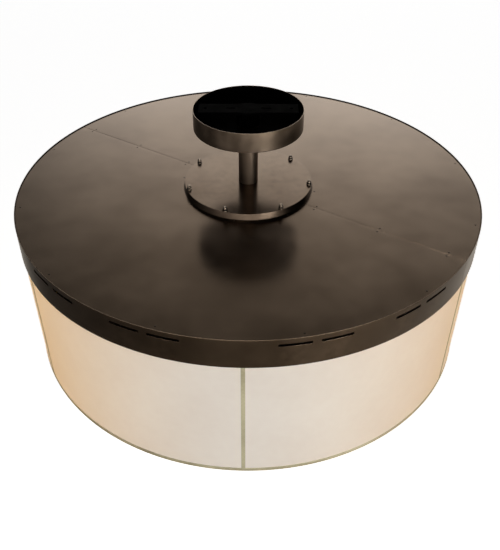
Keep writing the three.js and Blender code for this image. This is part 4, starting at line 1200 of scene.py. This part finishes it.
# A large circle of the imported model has 72 sides. The half disc keeps inside the middles of the sides.
MODEL_SIDES = 72
DIFFUSER_RADIUS = FRAME_INNER * math.cos(math.pi / MODEL_SIDES) - 1.5 * MM
ARC_STEPS = 120
diffuser_start = math.asin(DIFFUSER_HALF_SPLIT / DIFFUSER_RADIUS)
diffuser_sweep = math.pi - 2 * diffuser_start
diffuser_turns = [diffuser_start + diffuser_sweep * i / ARC_STEPS for i in range(ARC_STEPS + 1)]
half_circle = [
    (DIFFUSER_RADIUS * math.cos(turn), DIFFUSER_RADIUS * math.sin(turn)) for turn in diffuser_turns
]
for number in (1, 2):
    diffuser_low, diffuser_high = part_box(f"diffuser_{number}")
    bm = bmesh.new()
    slab(bm, half_circle, diffuser_low.z, diffuser_high.z)
    turn_all(bm, FRONT_STILE + math.pi * (number - 1))
    soften(bm, 0.5 * MM, 2)
    # Only the underside takes the painted pools of light; the other faces take the copy without them.
    paint_faces(bm, 1, lambda face: face.normal.z >= -0.5)
    finish_piece(bm, f"diffuser_{number}", f"diffuser_{number}", "opal_acrylic", ACRYLIC, ACRYLIC_BACK)
refined_node("diffuser_crossbar", "antique_brass", BRASS, 0.4 * MM)

# %% [markdown]
# ## Lamps
#
# A wiring cup under the hub carries six arms. A china lampholder hangs from the end of each, with a
# frosted bulb in it. The holder has a shoulder, a ribbed skirt and a rounded mouth.
# %% Lamp spider
refined_node("lamp_spider", "bronze_enamel", FRAME_BRONZE, 0.5 * MM)

# %% Lampholders and bulbs
# Millimetres: (radius, height above the mouth), and then (radius, depth below the top).
HOLDER_MOUTH = [(0, 26), (14.2, 26), (14.2, 0), (18, 0), (18, 7), (17.2, 8.5), (17.2, 26), (18, 27.5)]
HOLDER_TOP = [(18, 20), (12, 12), (6, 12), (6, 0), (0, 0)]
BULB_NECK = [(20, 46), (15.5, 33), (13, 26), (13, 5), (6.5, 0), (0, 0)]
BULB_RADIUS = 30 * MM
bowl_turns = [math.radians(degrees) for degrees in range(0, 121, 8)]


def below(top, steps):
    """A profile whose heights are counted down from the top."""
    return [(radius * MM, top - depth * MM) for radius, depth in steps]


for number in range(1, PANELS + 1):
    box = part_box(f"lampholder_{number}")
    mouth = [(radius * MM, box[0].z + height * MM) for radius, height in HOLDER_MOUTH]
    bm = bmesh.new()
    lathe(bm, mouth + below(box[1].z, HOLDER_TOP), SMALL_ROUND)
    soften(bm, 0.8 * MM, 3)
    move_over(bm, box)
    finish_piece(bm, f"lampholder_{number}", "fixture", "porcelain", CHINA)

    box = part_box(f"bulb_{number}")
    middle = box[0].z + BULB_RADIUS
    bowl = [(BULB_RADIUS * math.sin(turn), middle - BULB_RADIUS * math.cos(turn)) for turn in bowl_turns]
    bm = bmesh.new()
    lathe(bm, bowl + below(box[1].z, BULB_NECK), SMALL_ROUND)
    move_over(bm, box)
    finish_piece(bm, f"bulb_{number}", "fixture", "frosted_glass", BULB_GLASS)

# %% [markdown]
# ## Ceiling hardware and small steel
#
# The bracket, the cross bolt, its nut, the locknut and the skirt's joint plates keep the shapes that the
# model gives them. Their copies only get whole flats and softened edges.
# %% Steel pieces
# The bracket, the bolt and its nut are near-black, darker than paint: partly painted shade.
for name in ("ceiling_bracket", "stem_cross_bolt", "stem_cross_nut"):
    width = 0.5 * MM if name == "ceiling_bracket" else 0.4 * MM
    refined_node(name, "black_steel", BRACKET_SHADOW_BLACK, width)
refined_node("stem_locknut", "zinc_steel", ZINC, 0.8 * MM)
for number in (1, 2):
    refined_node(f"skirt_joint_plate_{number}", "bronze_hardware", FRAME_BRONZE, 0.3 * MM)

# %% [markdown]
# ## The end
#
# The view transform is set to Standard.
# %% Set the view transform
bpy.context.scene.view_settings.view_transform = "Standard"
